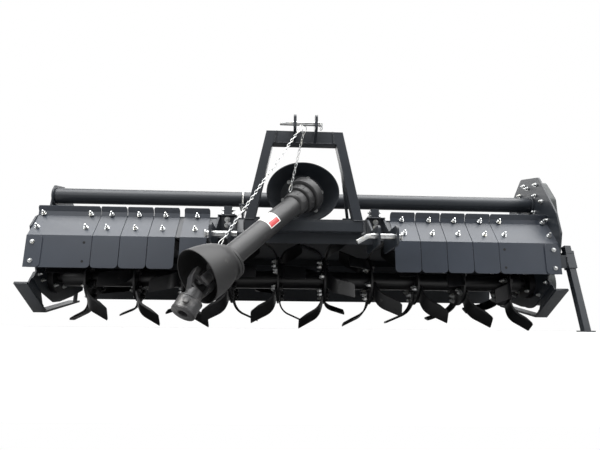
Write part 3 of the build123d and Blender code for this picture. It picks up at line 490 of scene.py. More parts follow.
def fastener_group():
    """Washer, six-sided nut with a chamfer, and a stud, on every point of a mesh, along its facing."""
    group, tree, size = new_group("Fastener on points", [
        ("Across flats", "NodeSocketFloat"), ("Nut height", "NodeSocketFloat"),
        ("Washer radius", "NodeSocketFloat"), ("Washer height", "NodeSocketFloat"),
        ("Stud radius", "NodeSocketFloat"), ("Stud length", "NodeSocketFloat"),
        ("Material", "NodeSocketMaterial")])
    washer_h, nut_h, stud_l = size["Washer height"], size["Nut height"], size["Stud length"]
    across, stud_r = size["Across flats"], size["Stud radius"]
    washer = tree.add("GeometryNodeMeshCylinder", None,
                      {"Vertices": WASHER_SIDES, "Radius": size["Washer radius"], "Depth": washer_h})
    nut = tree.add("GeometryNodeMeshCylinder", None,
                   {"Vertices": NUT_SIDES, "Radius": across / math.sqrt(3.0), "Depth": nut_h * NUT_BODY})
    crown = tree.add("GeometryNodeMeshCone", None,
                     {"Vertices": CROWN_SIDES, "Radius Top": across * CROWN_TOP,
                      "Radius Bottom": across * CROWN_BOTTOM, "Depth": nut_h * (1.0 - NUT_BODY)})
    stud = tree.add("GeometryNodeMeshCylinder", None,
                    {"Vertices": STUD_SIDES, "Radius": stud_r, "Depth": stud_l})
    stud_tip = tree.add("GeometryNodeMeshCone", None,
                        {"Vertices": STUD_SIDES, "Radius Top": stud_r * POINT_END,
                         "Radius Bottom": stud_r, "Depth": stud_r * POINT_LENGTH})
    nut_top = washer_h + nut_h
    parts = [upright(tree, washer_h * 0.5, washer), upright(tree, washer_h + nut_h * (NUT_BODY / 2), nut),
             upright(tree, washer_h + nut_h * NUT_BODY, crown),
             upright(tree, nut_top + stud_l * 0.5, stud), upright(tree, nut_top + stud_l, stud_tip)]
    whole = tree.add("GeometryNodeJoinGeometry", None, {0: parts})
    facing = tree.add("GeometryNodeInputNamedAttribute", {"data_type": "FLOAT_VECTOR"}, {"Name": "facing"})
    turn = tree.add("FunctionNodeAlignRotationToVector", {"axis": "Z"}, {"Vector": facing})
    spin = tree.add("FunctionNodeRandomValue", {"data_type": "FLOAT"},
                    {2: 0.0, 3: math.tau, "Seed": NUT_SEED}, out=1)
    roll = tree.add("ShaderNodeCombineXYZ", None, {"Z": spin})
    turned = tree.add("FunctionNodeRotateRotation", {"rotation_space": "LOCAL"},
                      {"Rotation": turn, "Rotate By": roll})
    placed = tree.add("GeometryNodeInstanceOnPoints", None,
                      {"Points": size["Geometry"], "Instance": whole, "Rotation": turned})
    close_group(tree, placed, size["Material"])
    return group


def points_mesh(name, spots):
    """A mesh of loose points, each with the way it faces: spots are (point, facing)."""
    mesh = bpy.data.meshes.new(name)
    mesh.from_pydata([tuple(point) for point, _ in spots], [], [])
    layer = mesh.attributes.new("facing", "FLOAT_VECTOR", "POINT")
    for i, (_, facing) in enumerate(spots):
        layer.data[i].vector = facing
    return mesh


# Usual sizes of a fastener by its width across flats, and the height of its washer in millimetres
NUT_HEIGHT = 0.62
WASHER_RADIUS = 0.75
STUD_RADIUS = 0.3
WASHER_HEIGHT = 2.2


def fit_fasteners(name, spots, body, across, stud, washer=None, slot="zinc"):
    """Nuts of one size on a body; across, stud and washer are in millimetres."""
    group = bpy.data.node_groups.get("Fastener on points") or fastener_group()
    values = {"Across flats": across * MM, "Nut height": across * NUT_HEIGHT * MM,
              "Washer radius": (washer or across * WASHER_RADIUS) * MM,
              "Washer height": WASHER_HEIGHT * MM, "Stud radius": across * STUD_RADIUS * MM,
              "Stud length": stud * MM, "Material": FINISHES[slot]}
    mesh = run_group(group, points_mesh(name, spots), name, values)
    keep_piece(name, mesh, body, slot)


# How finely a rod's ring and its bends are divided, and the order of the spline that bends it
ROD_RING = 3
ROD_BEND = 6
ROD_ORDER = 3


def rod_mesh(name, points, radius, endless=False):
    """A round rod along points of the model, bent smoothly at each; endless joins its ends."""
    curve = bpy.data.curves.new(name, "CURVE")
    curve.dimensions = "3D"
    curve.bevel_depth = radius * MM
    curve.bevel_resolution = ROD_RING
    curve.use_fill_caps = True
    curve.resolution_u = ROD_BEND
    spline = curve.splines.new("NURBS")
    spline.points.add(len(points) - 1)
    for spot, point in zip(spline.points, points):
        spot.co = (*point, 1.0)
    spline.order_u = ROD_ORDER
    spline.use_endpoint_u = not endless
    spline.use_cyclic_u = endless
    rod = bpy.data.objects.new(name, curve)
    bpy.context.scene.collection.objects.link(rod)
    mesh = frozen(rod, name)
    mesh.shade_smooth()
    return mesh


# Turn of a chain's first link about the chain, in radians
FIRST_LINK_TURN = 0.6
# Steps round a link and sides of its wire
LINK_STEPS = 14
LINK_SIDES = 6


def chain_group():
    """Oval links along a straight line of points, each turned a quarter from the last."""
    group, tree, size = new_group("Links on points", [
        ("Wire radius", "NodeSocketFloat"), ("Link length", "NodeSocketFloat"),
        ("Link width", "NodeSocketFloat"), ("Material", "NodeSocketMaterial")])
    bend = (size["Link width"] - size["Wire radius"] * 2.0) * 0.5
    circle = tree.add("GeometryNodeCurvePrimitiveCircle", {"mode": "RADIUS"},
                      {"Resolution": LINK_STEPS, "Radius": bend})
    place = tree.add("GeometryNodeInputPosition")
    side = tree.add("ShaderNodeSeparateXYZ", None, {0: place}, out=0).math("SIGN")
    shift = side * (size["Link length"] * 0.5 - bend - size["Wire radius"])
    stretch = tree.add("ShaderNodeCombineXYZ", None, {"X": shift})
    oval = tree.add("GeometryNodeSetPosition", None, {"Geometry": circle, "Offset": stretch})
    wire = tree.add("GeometryNodeCurvePrimitiveCircle", {"mode": "RADIUS"},
                    {"Resolution": LINK_SIDES, "Radius": size["Wire radius"]})
    link = tree.add("GeometryNodeCurveToMesh", None, {"Curve": oval, "Profile Curve": wire})
    smooth = tree.add("GeometryNodeSetShadeSmooth", None, {"Geometry": link})
    facing = tree.add("GeometryNodeInputNamedAttribute", {"data_type": "FLOAT_VECTOR"}, {"Name": "facing"})
    turn = tree.add("FunctionNodeAlignRotationToVector", {"axis": "X"}, {"Vector": facing})
    index = tree.add("GeometryNodeInputIndex")
    quarter = tree.add("ShaderNodeCombineXYZ", None, {"X": index * (math.pi / 2) + FIRST_LINK_TURN})
    turned = tree.add("FunctionNodeRotateRotation", {"rotation_space": "LOCAL"},
                      {"Rotation": turn, "Rotate By": quarter})
    placed = tree.add("GeometryNodeInstanceOnPoints", None,
                      {"Points": size["Geometry"], "Instance": smooth, "Rotation": turned})
    close_group(tree, placed, size["Material"])
    return group


def lathe(name, start, direction, profile, segments=64, looped=False):
    """A mesh turned round an axis. Rows of the profile are (distance, radius) in millimetres. It is
    closed where a radius is 0, and looped joins its last row to its first."""
    axis = Vector(direction).normalized()
    turn = axis.to_track_quat("Z", "Y").to_matrix()
    mesh = bpy.data.meshes.new(name)
    shape = bmesh.new()
    rows = []
    for along, radius in profile:
        if radius == 0.0:
            rows.append([shape.verts.new(start + turn @ Vector((0, 0, along * MM)))])
            continue
        rows.append([shape.verts.new(start + turn @ (Vector((
            radius * math.cos(i * math.tau / segments), radius * math.sin(i * math.tau / segments),
            along)) * MM)) for i in range(segments)])
    following = rows[1:] + rows[:1] if looped else rows[1:]
    for low, high in zip(rows, following):
        for i in range(segments):
            j = (i + 1) % segments
            if len(low) == 1 and len(high) == 1:
                continue
            if len(low) == 1:
                shape.faces.new((low[0], high[j], high[i]))
            elif len(high) == 1:
                shape.faces.new((low[i], low[j], high[0]))
            else:
                shape.faces.new((low[i], low[j], high[j], high[i]))
    bmesh.ops.recalc_face_normals(shape, faces=shape.faces)
    shape.to_mesh(mesh)
    shape.free()
    mesh.shade_smooth()
    mesh.set_sharp_from_angle(angle=math.radians(SHARP_ANGLE))
    return mesh


# Thickness of the black disc of painted shade that marks a hole, and how far its edge is broken, in millimetres
HOLE_DISC = 0.3
HOLE_EDGE = 0.2


def painted_hole_shade(spot, facing, radius, segments):
    """A thin disc with a broken edge, which paints the shade inside a hole that shows nothing behind it."""
    profile = ((0.0, 0.0), (0.0, radius), (HOLE_DISC, radius - HOLE_EDGE), (HOLE_DISC, 0.0))
    return lathe("hole", spot, facing, profile, segments)


def joined(name, meshes):
    """One mesh from several."""
    shape = bmesh.new()
    for mesh in meshes:
        shape.from_mesh(mesh)
        bpy.data.meshes.remove(mesh)
    whole = bpy.data.meshes.new(name)
    shape.to_mesh(whole)
    shape.free()
    whole.set_sharp_from_angle(angle=math.radians(SHARP_ANGLE))
    return whole


def flowing(rows, steps=5):
    """A profile with steps more rows between each two, on a Catmull-Rom curve through them all."""
    points = [Vector(row) for row in rows]
    result = []
    for i in range(len(points) - 1):
        before, start, end = points[max(i - 1, 0)], points[i], points[i + 1]
        after = points[min(i + 2, len(points) - 1)]
        for k in range(steps):
            t = k / steps
            result.append(tuple(0.5 * (2.0 * start + (end - before) * t
                                       + (2.0 * before - 5.0 * start + 4.0 * end - after) * t ** 2
                                       + (3.0 * start - before - 3.0 * end + after) * t ** 3)))
    return result + [tuple(points[-1])]


def blocks(name, rows, chamfer=1.2):
    """Small plates and bars with broken edges. Rows are (centre, half sizes, axes or None)."""
    shape = bmesh.new()
    for centre, halves, axes in rows:
        made = bmesh.ops.create_cube(shape, size=2.0)["verts"]
        turn = Matrix(axes).transposed() if axes else Matrix.Identity(3)
        for vert in made:
            local = Vector(a * b for a, b in zip(vert.co, halves)) * MM
            vert.co = centre + turn @ local
    bmesh.ops.recalc_face_normals(shape, faces=shape.faces)
    bmesh.ops.bevel(shape, geom=shape.edges[:], offset=chamfer * MM, segments=1, affect="EDGES",
                    clamp_overlap=True)
    mesh = bpy.data.meshes.new(name)
    shape.to_mesh(mesh)
    shape.free()
    return mesh


# Least and greatest size of a weld's ripples, and their length along the bead, as shares of the drop size
RIPPLE_SIZES = (0.85, 1.12)
RIPPLE_LENGTH = 0.62
# How finely a ripple is divided, and the seed of the ripples' sizes
RIPPLE_DETAIL = 2
RIPPLE_SEED = 3


def bead_group():
    """Flattened drops along a line of points, as the ripples of a weld."""
    group, tree, size = new_group("Drops on points", [
        ("Drop size", "NodeSocketFloat"), ("Material", "NodeSocketMaterial")])
    drop = tree.add("GeometryNodeMeshIcoSphere", None,
                    {"Radius": size["Drop size"], "Subdivisions": RIPPLE_DETAIL})
    smooth = tree.add("GeometryNodeSetShadeSmooth", None, {"Geometry": drop})
    facing = tree.add("GeometryNodeInputNamedAttribute", {"data_type": "FLOAT_VECTOR"}, {"Name": "facing"})
    turn = tree.add("FunctionNodeAlignRotationToVector", {"axis": "X"}, {"Vector": facing})
    grown = tree.add("FunctionNodeRandomValue", {"data_type": "FLOAT"},
                     {2: RIPPLE_SIZES[0], 3: RIPPLE_SIZES[1], "Seed": RIPPLE_SEED}, out=1)
    ripple = tree.add("ShaderNodeCombineXYZ", None, {"X": grown * RIPPLE_LENGTH, "Y": grown, "Z": grown})
    placed = tree.add("GeometryNodeInstanceOnPoints", None,
                      {"Points": size["Geometry"], "Instance": smooth, "Rotation": turn, "Scale": ripple})
    close_group(tree, placed, size["Material"])
    return group


# Settings


class TillerPaint(bpy.types.PropertyGroup):
    """Colours of the finishes."""

    frame: FloatVectorProperty(name="Frame paint", description="Colour of mast, beam, hood and tubes",
                               subtype="COLOR", size=3, min=0.0, max=1.0, default=(0.017, 0.021, 0.027))
    shield: FloatVectorProperty(name="Shield paint", description="Colour of the front shields",
                                subtype="COLOR", size=3, min=0.0, max=1.0, default=(0.030, 0.037, 0.050))
    rotor: FloatVectorProperty(name="Rotor paint", description="Colour of the rotor and its blades",
                               subtype="COLOR", size=3, min=0.0, max=1.0, default=(0.005, 0.005, 0.006))
    case: FloatVectorProperty(name="Case paint", description="Colour of the gearbox and the gear case",
                              subtype="COLOR", size=3, min=0.0, max=1.0, default=(0.032, 0.038, 0.038))
    zinc: FloatVectorProperty(name="Zinc", description="Colour of plated fasteners, pins and chains",
                              subtype="COLOR", size=3, min=0.0, max=1.0, default=(0.56, 0.57, 0.57))
    guard: FloatVectorProperty(name="Guard plastic", description="Colour of the driveline guard",
                               subtype="COLOR", size=3, min=0.0, max=1.0, default=(0.026, 0.026, 0.027))
    joint: FloatVectorProperty(name="Joint steel", description="Colour of the driveline's yokes",
                               subtype="COLOR", size=3, min=0.0, max=1.0, default=(0.045, 0.045, 0.047))
    cap: FloatVectorProperty(name="Filler cap", description="Colour of the filler cap on the gear case",
                             subtype="COLOR", size=3, min=0.0, max=1.0, default=(0.42, 0.47, 0.06))


class TillerFasteners(bpy.types.PropertyGroup):
    """Widths across flats of the repeated fasteners, in millimetres."""

    shield_nut: FloatProperty(name="Shield nut", description="Width that the shield nuts follow",
                              min=6.0, max=40.0, default=16.5)
    blade_nut: FloatProperty(name="Blade nut", description="Width that the blade nuts follow",
                             min=6.0, max=40.0, default=22.0)
    clamp_nut: FloatProperty(name="Clamp nut", description="Width that the clamp nuts follow",
                             min=6.0, max=40.0, default=24.0)


class TillerChain(bpy.types.PropertyGroup):
    """Sizes of the guard chains, in millimetres."""

    wire: FloatProperty(name="Wire", description="Thickness of the links' wire", min=1.0, max=10.0,
                        default=2.7)
    length: FloatProperty(name="Link length", description="Outside length of a link", min=8.0, max=60.0,
                          default=20.5)
    width: FloatProperty(name="Link width", description="Outside width of a link", min=4.0, max=40.0,
                         default=11.5)


class TillerStudio(bpy.types.PropertyGroup):
    """Camera and light."""

    lens: FloatProperty(name="Lens", description="Focal length of the camera on a 36 mm sensor",
                        min=10.0, max=200.0, default=27.6)
    yaw: FloatProperty(name="Yaw", description="Turn of the camera to the right, in degrees",
                       min=-180.0, max=180.0, default=2.53)
    pitch: FloatProperty(name="Pitch", description="Tilt of the camera upwards, in degrees",
                         min=-90.0, max=90.0, default=12.75)
    roll: FloatProperty(name="Roll", description="Roll of the camera, in degrees",
                        min=-90.0, max=90.0, default=0.5)
    key: FloatProperty(name="Top light", description="Power of the soft light overhead, in watts",
                       min=0.0, max=2000.0, default=470.0)
    sky: FloatProperty(name="Sky", description="Strength of the even light from all round",
                       min=0.0, max=2.0, default=0.22)
    floor_size: IntProperty(name="Floor size", description="Side of the square floor, in metres",
                            min=5, max=200, default=60)


# Operators


class TILLER_OT_paint(bpy.types.Operator):
    """Paints every solid of the machine with the finish of its slot"""

    bl_idname = "tiller.paint"
    bl_label = "Paint"

    OTHER_FINISH = {"gear_case": "case_paint", "gear_case_cover": "case_paint", "gearbox": "case_paint",
                    "gearbox_nose": "case_paint", "tines_left": "blade_paint", "tines_right": "blade_paint"}

    def execute(self, context):
        mix_finishes(context.scene.tiller_paint)
        for part in frame["record"]["subparts"]:
            finish = self.OTHER_FINISH.get(part["node"], part["material_slot"])
            mesh = NODES[part["node"]].data
            mesh.materials.clear()
            mesh.materials.append(FINISHES[finish])
        return {"FINISHED"}


class TILLER_OT_shield_nuts(bpy.types.Operator):
    """Fits two nuts to each front shield and to each corner bracket"""

    bl_idname = "tiller.shield_nuts"
    bl_label = "Shield nuts"

    COLUMNS = (1179.0, 964.0, 870.0, 744.0, 622.0)
    INNER_COLUMN = {-1: 476.0, 1: 491.0}
    LIP = (-233.0, 513.0, (0.0, -0.86, 0.51))
    SLOPE = (-276.0, 440.0, (0.0, -0.828, 0.560))
    SHIELD_SHARE = 0.92
    STUD = 10.0
    WASHER = 10.5
    CORNER_X = 1176.0
    CORNER_Y = -307.0
    CORNER_HEIGHTS = (369.0, 284.0)
    CORNER_SHARE = 0.8
    CORNER_STUD = 1.0

    def execute(self, context):
        size = context.scene.tiller_fasteners.shield_nut
        for side, name in SIDES.items():
            spots = []
            for x in self.COLUMNS + (self.INNER_COLUMN[side],):
                for y, z, facing in (self.LIP, self.SLOPE):
                    spots.append((at(side * x, y, z), facing))
            fit_fasteners("shield_nuts_" + name, spots, "frame", size * self.SHIELD_SHARE,
                          stud=self.STUD, washer=self.WASHER)
            corner = [(at(side * self.CORNER_X, self.CORNER_Y, z), FORWARD) for z in self.CORNER_HEIGHTS]
            fit_fasteners("corner_nuts_" + name, corner, "frame", size * self.CORNER_SHARE,
                          stud=self.CORNER_STUD)
        return {"FINISHED"}


class TILLER_OT_shield_holes(bpy.types.Operator):
    """Marks the open bolt holes of the end shields with black discs of painted shade"""

    bl_idname = "tiller.shield_holes"
    bl_label = "Shield holes"

    FACE_Y = -303.0
    COLUMNS = (-955.0, 947.0)
    HEIGHTS = (368.0, 284.0)
    RADIUS = 6.0
    SEGMENTS = 24

    def execute(self, context):
        # The holes are black discs: painted shade inside them
        holes = [painted_hole_shade(at(x, self.FACE_Y, z), FORWARD, self.RADIUS, self.SEGMENTS)
                 for x in self.COLUMNS for z in self.HEIGHTS]
        keep_piece("shield_holes", joined("shield_holes", holes), "frame", "shield_paint", "painted_hole_shade")
        return {"FINISHED"}


class TILLER_OT_blade_bolts(bpy.types.Operator):
    """Fits the two bolts of every blade to the rotor's flanges"""

    bl_idname = "tiller.blade_bolts"
    bl_label = "Blade bolts"

    PITCH = 230.0
    FIRST_SHIFT = 22.0
    FLANGE_TURN = (28.0, 14.0, 8.0, -34.0, -35.0, -55.0, 40.0, 29.0, 18.0, 0.0)
    BLADES = 6
    BOLT_RADII = (70.0, 94.0)
    RAKE = 32.0
    BLADE_FACE = 13.0
    FLANGE_FACE = 5.0
    NUT_SHARE = 0.86
    NUT_STUD = 6.0
    HEAD_STUD = 1.0

    def execute(self, context):
        size = context.scene.tiller_fasteners.blade_nut
        spots = {-1: [], 1: []}
        for i, turn in enumerate(self.FLANGE_TURN):
            x = self.FIRST_SHIFT + (i - (len(self.FLANGE_TURN) - 1) / 2) * self.PITCH
            for k in range(self.BLADES):
                angle = math.radians(k * 360.0 / self.BLADES - self.RAKE - turn)
                hand = 1 if k % 2 == 0 else -1
                for radius in self.BOLT_RADII:
                    y = radius * math.sin(angle)
                    z = ROTOR_HEIGHT - radius * math.cos(angle)
                    spots[hand].append((at(x + hand * self.BLADE_FACE, y, z), (hand, 0.0, 0.0)))
                    spots[-hand].append((at(x - hand * self.FLANGE_FACE, y, z), (-hand, 0.0, 0.0)))
        fit_fasteners("blade_nuts", spots[-1], "rotor", size * self.NUT_SHARE, stud=self.NUT_STUD)
        fit_fasteners("blade_bolt_heads", spots[1], "rotor", size, stud=self.HEAD_STUD, slot="rotor_paint")
        return {"FINISHED"}


# How much of a chain's plain bar counts as its end, in metres
CHAIN_END_DEPTH = 0.008


def chain_ends(node):
    """The upper and the lower end of a chain's plain bar."""
    points = [vertex.co for vertex in NODES[node].data.vertices]
    top = max(point.z for point in points)
    low = min(point.z for point in points)
    head = [point for point in points if point.z > top - CHAIN_END_DEPTH]
    foot = [point for point in points if point.z < low + CHAIN_END_DEPTH]
    return sum(head, Vector()) / len(head), sum(foot, Vector()) / len(foot)


class TILLER_OT_chains(bpy.types.Operator):
    """Hangs the two chains that hold the driveline guard"""

    bl_idname = "tiller.chains"
    bl_label = "Guard chains"

    # Length without links at each end of a chain, for its hook, in metres
    HOOK_ROOM = 0.030

    def execute(self, context):
        size = context.scene.tiller_chain
        group = chain_group()
        for node in ("chain_long", "chain_short"):
            head, foot = chain_ends(node)
            way = (foot - head).normalized()
            start = head + way * self.HOOK_ROOM
            end = foot - way * self.HOOK_ROOM
            run = end - start
            pitch = (size.length - 2.0 * size.wire) * MM
            count = int(run.length / pitch)
            facing = run.normalized()
            spots = [(start + run * ((i + 0.5) / count), facing) for i in range(count)]
            values = {"Wire radius": size.wire / 2 * MM, "Link length": size.length * MM,
                      "Link width": size.width * MM, "Material": FINISHES["zinc"]}
            links = run_group(group, points_mesh(node + "_links", spots), node + "_links", values)
            piece = keep_piece(node + "_links", links, "frame", "zinc")
            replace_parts(piece, node)
        return {"FINISHED"}


# The driveline's own axis, from the joint on the gearbox to the open yoke
JOINT = at(22.0, -440.0, 570.0)
SHAFT_WAY = Vector((-0.546, -0.54, -0.615)).normalized()
BELL_WAY = Vector((-0.625, -0.61, -0.49)).normalized()
SHAFT_UP = (Vector((0.0, 0.0, 1.0)) - SHAFT_WAY * SHAFT_WAY.z).normalized()
SHAFT_SIDE = SHAFT_WAY.cross(SHAFT_UP)


def round_shaft(along, radius, degrees):
    """A point round the driveline, its angle counted from the upper side."""
    angle = math.radians(degrees)
    out = SHAFT_UP * math.cos(angle) + SHAFT_SIDE * math.sin(angle)
    return JOINT + (SHAFT_WAY * along + out * radius) * MM


class TILLER_OT_guard(bpy.types.Operator):
    """Shapes the plastic guard round the driveline, its ribs and its blank label"""

    bl_idname = "tiller.guard"
    bl_label = "Driveline guard"

    INNER = ((-10.0, 78.0), (17.0, 77.6), (23.0, 75.8), (26.0, 71.0), (26.2, 61.0), (29.0, 60.6),
             (32.0, 63.6), (54.0, 63.2), (59.5, 61.0), (62.0, 57.0), (62.2, 49.6), (64.5, 49.4),
             (67.0, 52.5), (98.0, 51.6), (105.0, 49.0), (109.0, 44.5), (110.0, 42.2), (110.0, 24.4),
             (84.0, 24.4), (84.0, 48.5), (58.0, 48.5), (58.0, 57.4), (22.0, 57.4), (22.0, 74.0),
             (-10.0, 74.0))
    TUBE = ((104.0, 42.0), (523.0, 42.0), (523.0, 38.0), (104.0, 38.0))
    COLLAR = ((514.0, 42.5), (515.0, 52.0), (518.0, 60.0), (522.0, 65.5), (526.0, 67.6), (533.0, 68.0),
              (533.8, 65.8), (535.6, 65.8), (536.4, 68.0), (544.0, 68.2), (547.0, 66.8), (549.0, 63.0),
              (549.0, 35.0), (514.0, 35.0))
    COLLAR_HANG = 9.0
    BELL_FROM = 546.0
    BELL = ((-9.0, 64.0), (-3.0, 66.0), (5.0, 69.4), (14.0, 74.4), (24.0, 79.8), (36.0, 84.4),
            (50.0, 88.0), (70.0, 92.0), (90.0, 95.0), (108.0, 96.8), (122.0, 98.0))
    BELL_LIP = ((125.0, 98.2), (126.6, 97.4), (127.0, 96.0), (126.0, 94.6))
    BELL_WALL = 3.6
    BELL_SET_BACK = 1.0
    BELL_STEPS = 3
    BELL_SEGMENTS = 80
    RIB_COUNT = 16
    # Each ring of ribs: its place along the shaft, its radius, its ribs' half sizes, and one rib at every
    # so many places
    RIB_RINGS = ((43.5, 63.4, (11.0, 1.6, 1.5), 1), (82.0, 52.0, (12.0, 1.4, 1.2), 2))
    RIB_CHAMFER = 0.5
    LABEL_ALONG = (250.0, 314.0)
    LABEL_DEGREES = (66.0, -93.0)
    LABEL_RADIUS = 42.35
    LABEL_COLUMNS = 32
    LABEL_ROWS = 6

    def execute(self, context):
        for name, node, profile in (("guard_inner_cone", "inner_guard", self.INNER),
                                    ("guard_long_tube", "guard_tube", self.TUBE)):
            mesh = lathe(name, JOINT, SHAFT_WAY, profile, looped=True)
            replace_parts(keep_piece(name, mesh, "frame", "guard_plastic"), node)
        self.shape_bell()
        self.fit_ribs()
        self.stick_label()
        return {"FINISHED"}

    def shape_bell(self):
        """The outer cone with its collar, which hangs a little under the shaft's axis."""
        outside = flowing(self.BELL, self.BELL_STEPS)
        inside = [(along - self.BELL_SET_BACK, radius - self.BELL_WALL)
                  for along, radius in reversed(outside)]
        start = JOINT + SHAFT_WAY * self.BELL_FROM * MM
        bell = joined("guard_outer_bell", [
            lathe("collar", JOINT - SHAFT_UP * self.COLLAR_HANG * MM, SHAFT_WAY, self.COLLAR, looped=True),
            lathe("bell", start, BELL_WAY, outside + list(self.BELL_LIP) + inside, self.BELL_SEGMENTS,
                  looped=True)])
        # The outer cone takes the darker copy of the guard plastic, which paints its shade
        piece = keep_piece("guard_outer_bell", bell, "frame", "guard_plastic", "bell_shaded_plastic")
        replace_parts(piece, "outer_cone")

    def fit_ribs(self):
        """Short ribs round the two steps of the inner cone."""
        rows = []
        for i in range(self.RIB_COUNT):
            degrees = i * 360.0 / self.RIB_COUNT
            out = (round_shaft(0.0, 1.0, degrees) - JOINT).normalized()
            axes = (SHAFT_WAY, SHAFT_WAY.cross(out), out)
            rows += [(round_shaft(along, radius, degrees), halves, axes)
                     for along, radius, halves, every in self.RIB_RINGS if i % every == 0]
        keep_piece("guard_ribs", blocks("guard_ribs", rows, self.RIB_CHAMFER), "frame", "guard_plastic")

    def stick_label(self):
        """A blank sheet wrapped round the tube, with its own UV."""
        (start, end), (first, last) = self.LABEL_ALONG, self.LABEL_DEGREES
        columns, rows = self.LABEL_COLUMNS, self.LABEL_ROWS
        shape = bmesh.new()
        layer = shape.loops.layers.uv.new("UVMap")
        grid = [[shape.verts.new(round_shaft(start + (end - start) * j / rows, self.LABEL_RADIUS,
                                             first + (last - first) * i / columns))
                 for j in range(rows + 1)] for i in range(columns + 1)]
        for i in range(columns):
            for j in range(rows):
                corners = ((i, j), (i + 1, j), (i + 1, j + 1), (i, j + 1))
                face = shape.faces.new([grid[a][b] for a, b in corners])
                for loop, (a, b) in zip(face.loops, corners):
                    loop[layer].uv = (a / columns, b / rows)
        bmesh.ops.recalc_face_normals(shape, faces=shape.faces)
        outward = grid[0][0].co - JOINT
        outward -= SHAFT_WAY * outward.dot(SHAFT_WAY)
        shape.faces.ensure_lookup_table()
        if shape.faces[0].normal.dot(outward) < 0.0:
            bmesh.ops.reverse_faces(shape, faces=shape.faces)
        mesh = bpy.data.meshes.new("guard_label")
        shape.to_mesh(mesh)
        shape.free()
        mesh.shade_smooth()
        keep_piece("guard_label", mesh, "frame", "guard_plastic", "label")


class TILLER_OT_hooks(bpy.types.Operator):
    """Fits the wire hooks at the ends of the guard chains, and the top pin's handle, head and clip"""

    bl_idname = "tiller.hooks"
    bl_label = "Hooks and clips"

    WIRE = 1.7
    FOOT_HOOK = (30.0, 6.0)
    HEAD_HOOK = (42.0, 9.0)
    # Half of a hook's bow: the distance along it, and across it as a share of its half width
    BOW_TIP = -2.0
    BOW = ((4.0, 0.8), (16.0, 1.0))
    NECK = 0.34
    NECK_LENGTH = 4.0
    TOP_PIN = (12.0, -537.0, 855.0)
    HANDLE_REACH = 66.0
    HANDLE = ((0.0, 0.0), (0.0, 9.4), (40.0, 9.4), (42.5, 8.0), (43.5, 5.0), (43.5, 0.0))
    HEAD_REACH = 58.0
    HEAD = ((0.0, 0.0), (0.0, 11.0), (1.0, 12.5), (5.0, 12.5), (6.0, 11.0), (6.0, 0.0))
    CLIP_REACH = 67.0
    CLIP_RADIUS = 17.0
    CLIP_WIRE = 1.6
    CLIP_STEPS = 14
    PIN_SEGMENTS = 32
    # The clip's ring, as shares of its radius: its sway sideways, its depth and how far it hangs
    CLIP_SWAY = 0.25
    CLIP_DEPTH = 0.55
    CLIP_HANG = 0.62

    def execute(self, context):
        hooks = []
        for node in ("chain_long", "chain_short"):
            head, foot = chain_ends(node)
            up = (head - foot).normalized()
            hooks.append(self.wire_hook(foot, up, up, self.FOOT_HOOK))
            hooks.append(self.wire_hook(head, -up, up, self.HEAD_HOOK))
        keep_piece("chain_hooks", joined("chain_hooks", hooks), "frame", "zinc")
        x, y, z = self.TOP_PIN
        handle = lathe("handle", at(x - self.HANDLE_REACH, y, z), (-1.0, 0.0, 0.0), self.HANDLE,
                       self.PIN_SEGMENTS)
        head = lathe("head", at(x + self.HEAD_REACH, y, z), (1.0, 0.0, 0.0), self.HEAD,
                     self.PIN_SEGMENTS)
        clip = self.ring_clip(at(x + self.CLIP_REACH, y, z))
        keep_piece("top_pin_handle", joined("top_pin_handle", [handle, head, clip]), "frame", "zinc")
        return {"FINISHED"}

    def wire_hook(self, end, way, up, size):
        """A closed wire bow that runs from a chain's end towards its links."""
        length, half = size
        side = up.cross(Vector((0.0, 1.0, 0.0))).normalized()
        bow = self.BOW + ((length, self.NECK),)
        back = tuple((along, -across) for along, across in reversed(bow))
        rows = ((self.BOW_TIP, 0.0),) + bow + ((length + self.NECK_LENGTH, 0.0),) + back
        points = [end + (way * along + side * across * half) * MM for along, across in rows]
        return rod_mesh("hook", points, self.WIRE, endless=True)

    def ring_clip(self, centre):
        """A spring clip: a wire ring that hangs from a hole through a pin."""
        turns = (i * math.tau / self.CLIP_STEPS for i in range(self.CLIP_STEPS))
        points = [centre + Vector((self.CLIP_SWAY * math.sin(t * 2.0), self.CLIP_DEPTH * math.sin(t),
                                   math.cos(t) - self.CLIP_HANG)) * self.CLIP_RADIUS * MM for t in turns]
        return rod_mesh("clip", points, self.CLIP_WIRE, endless=True)


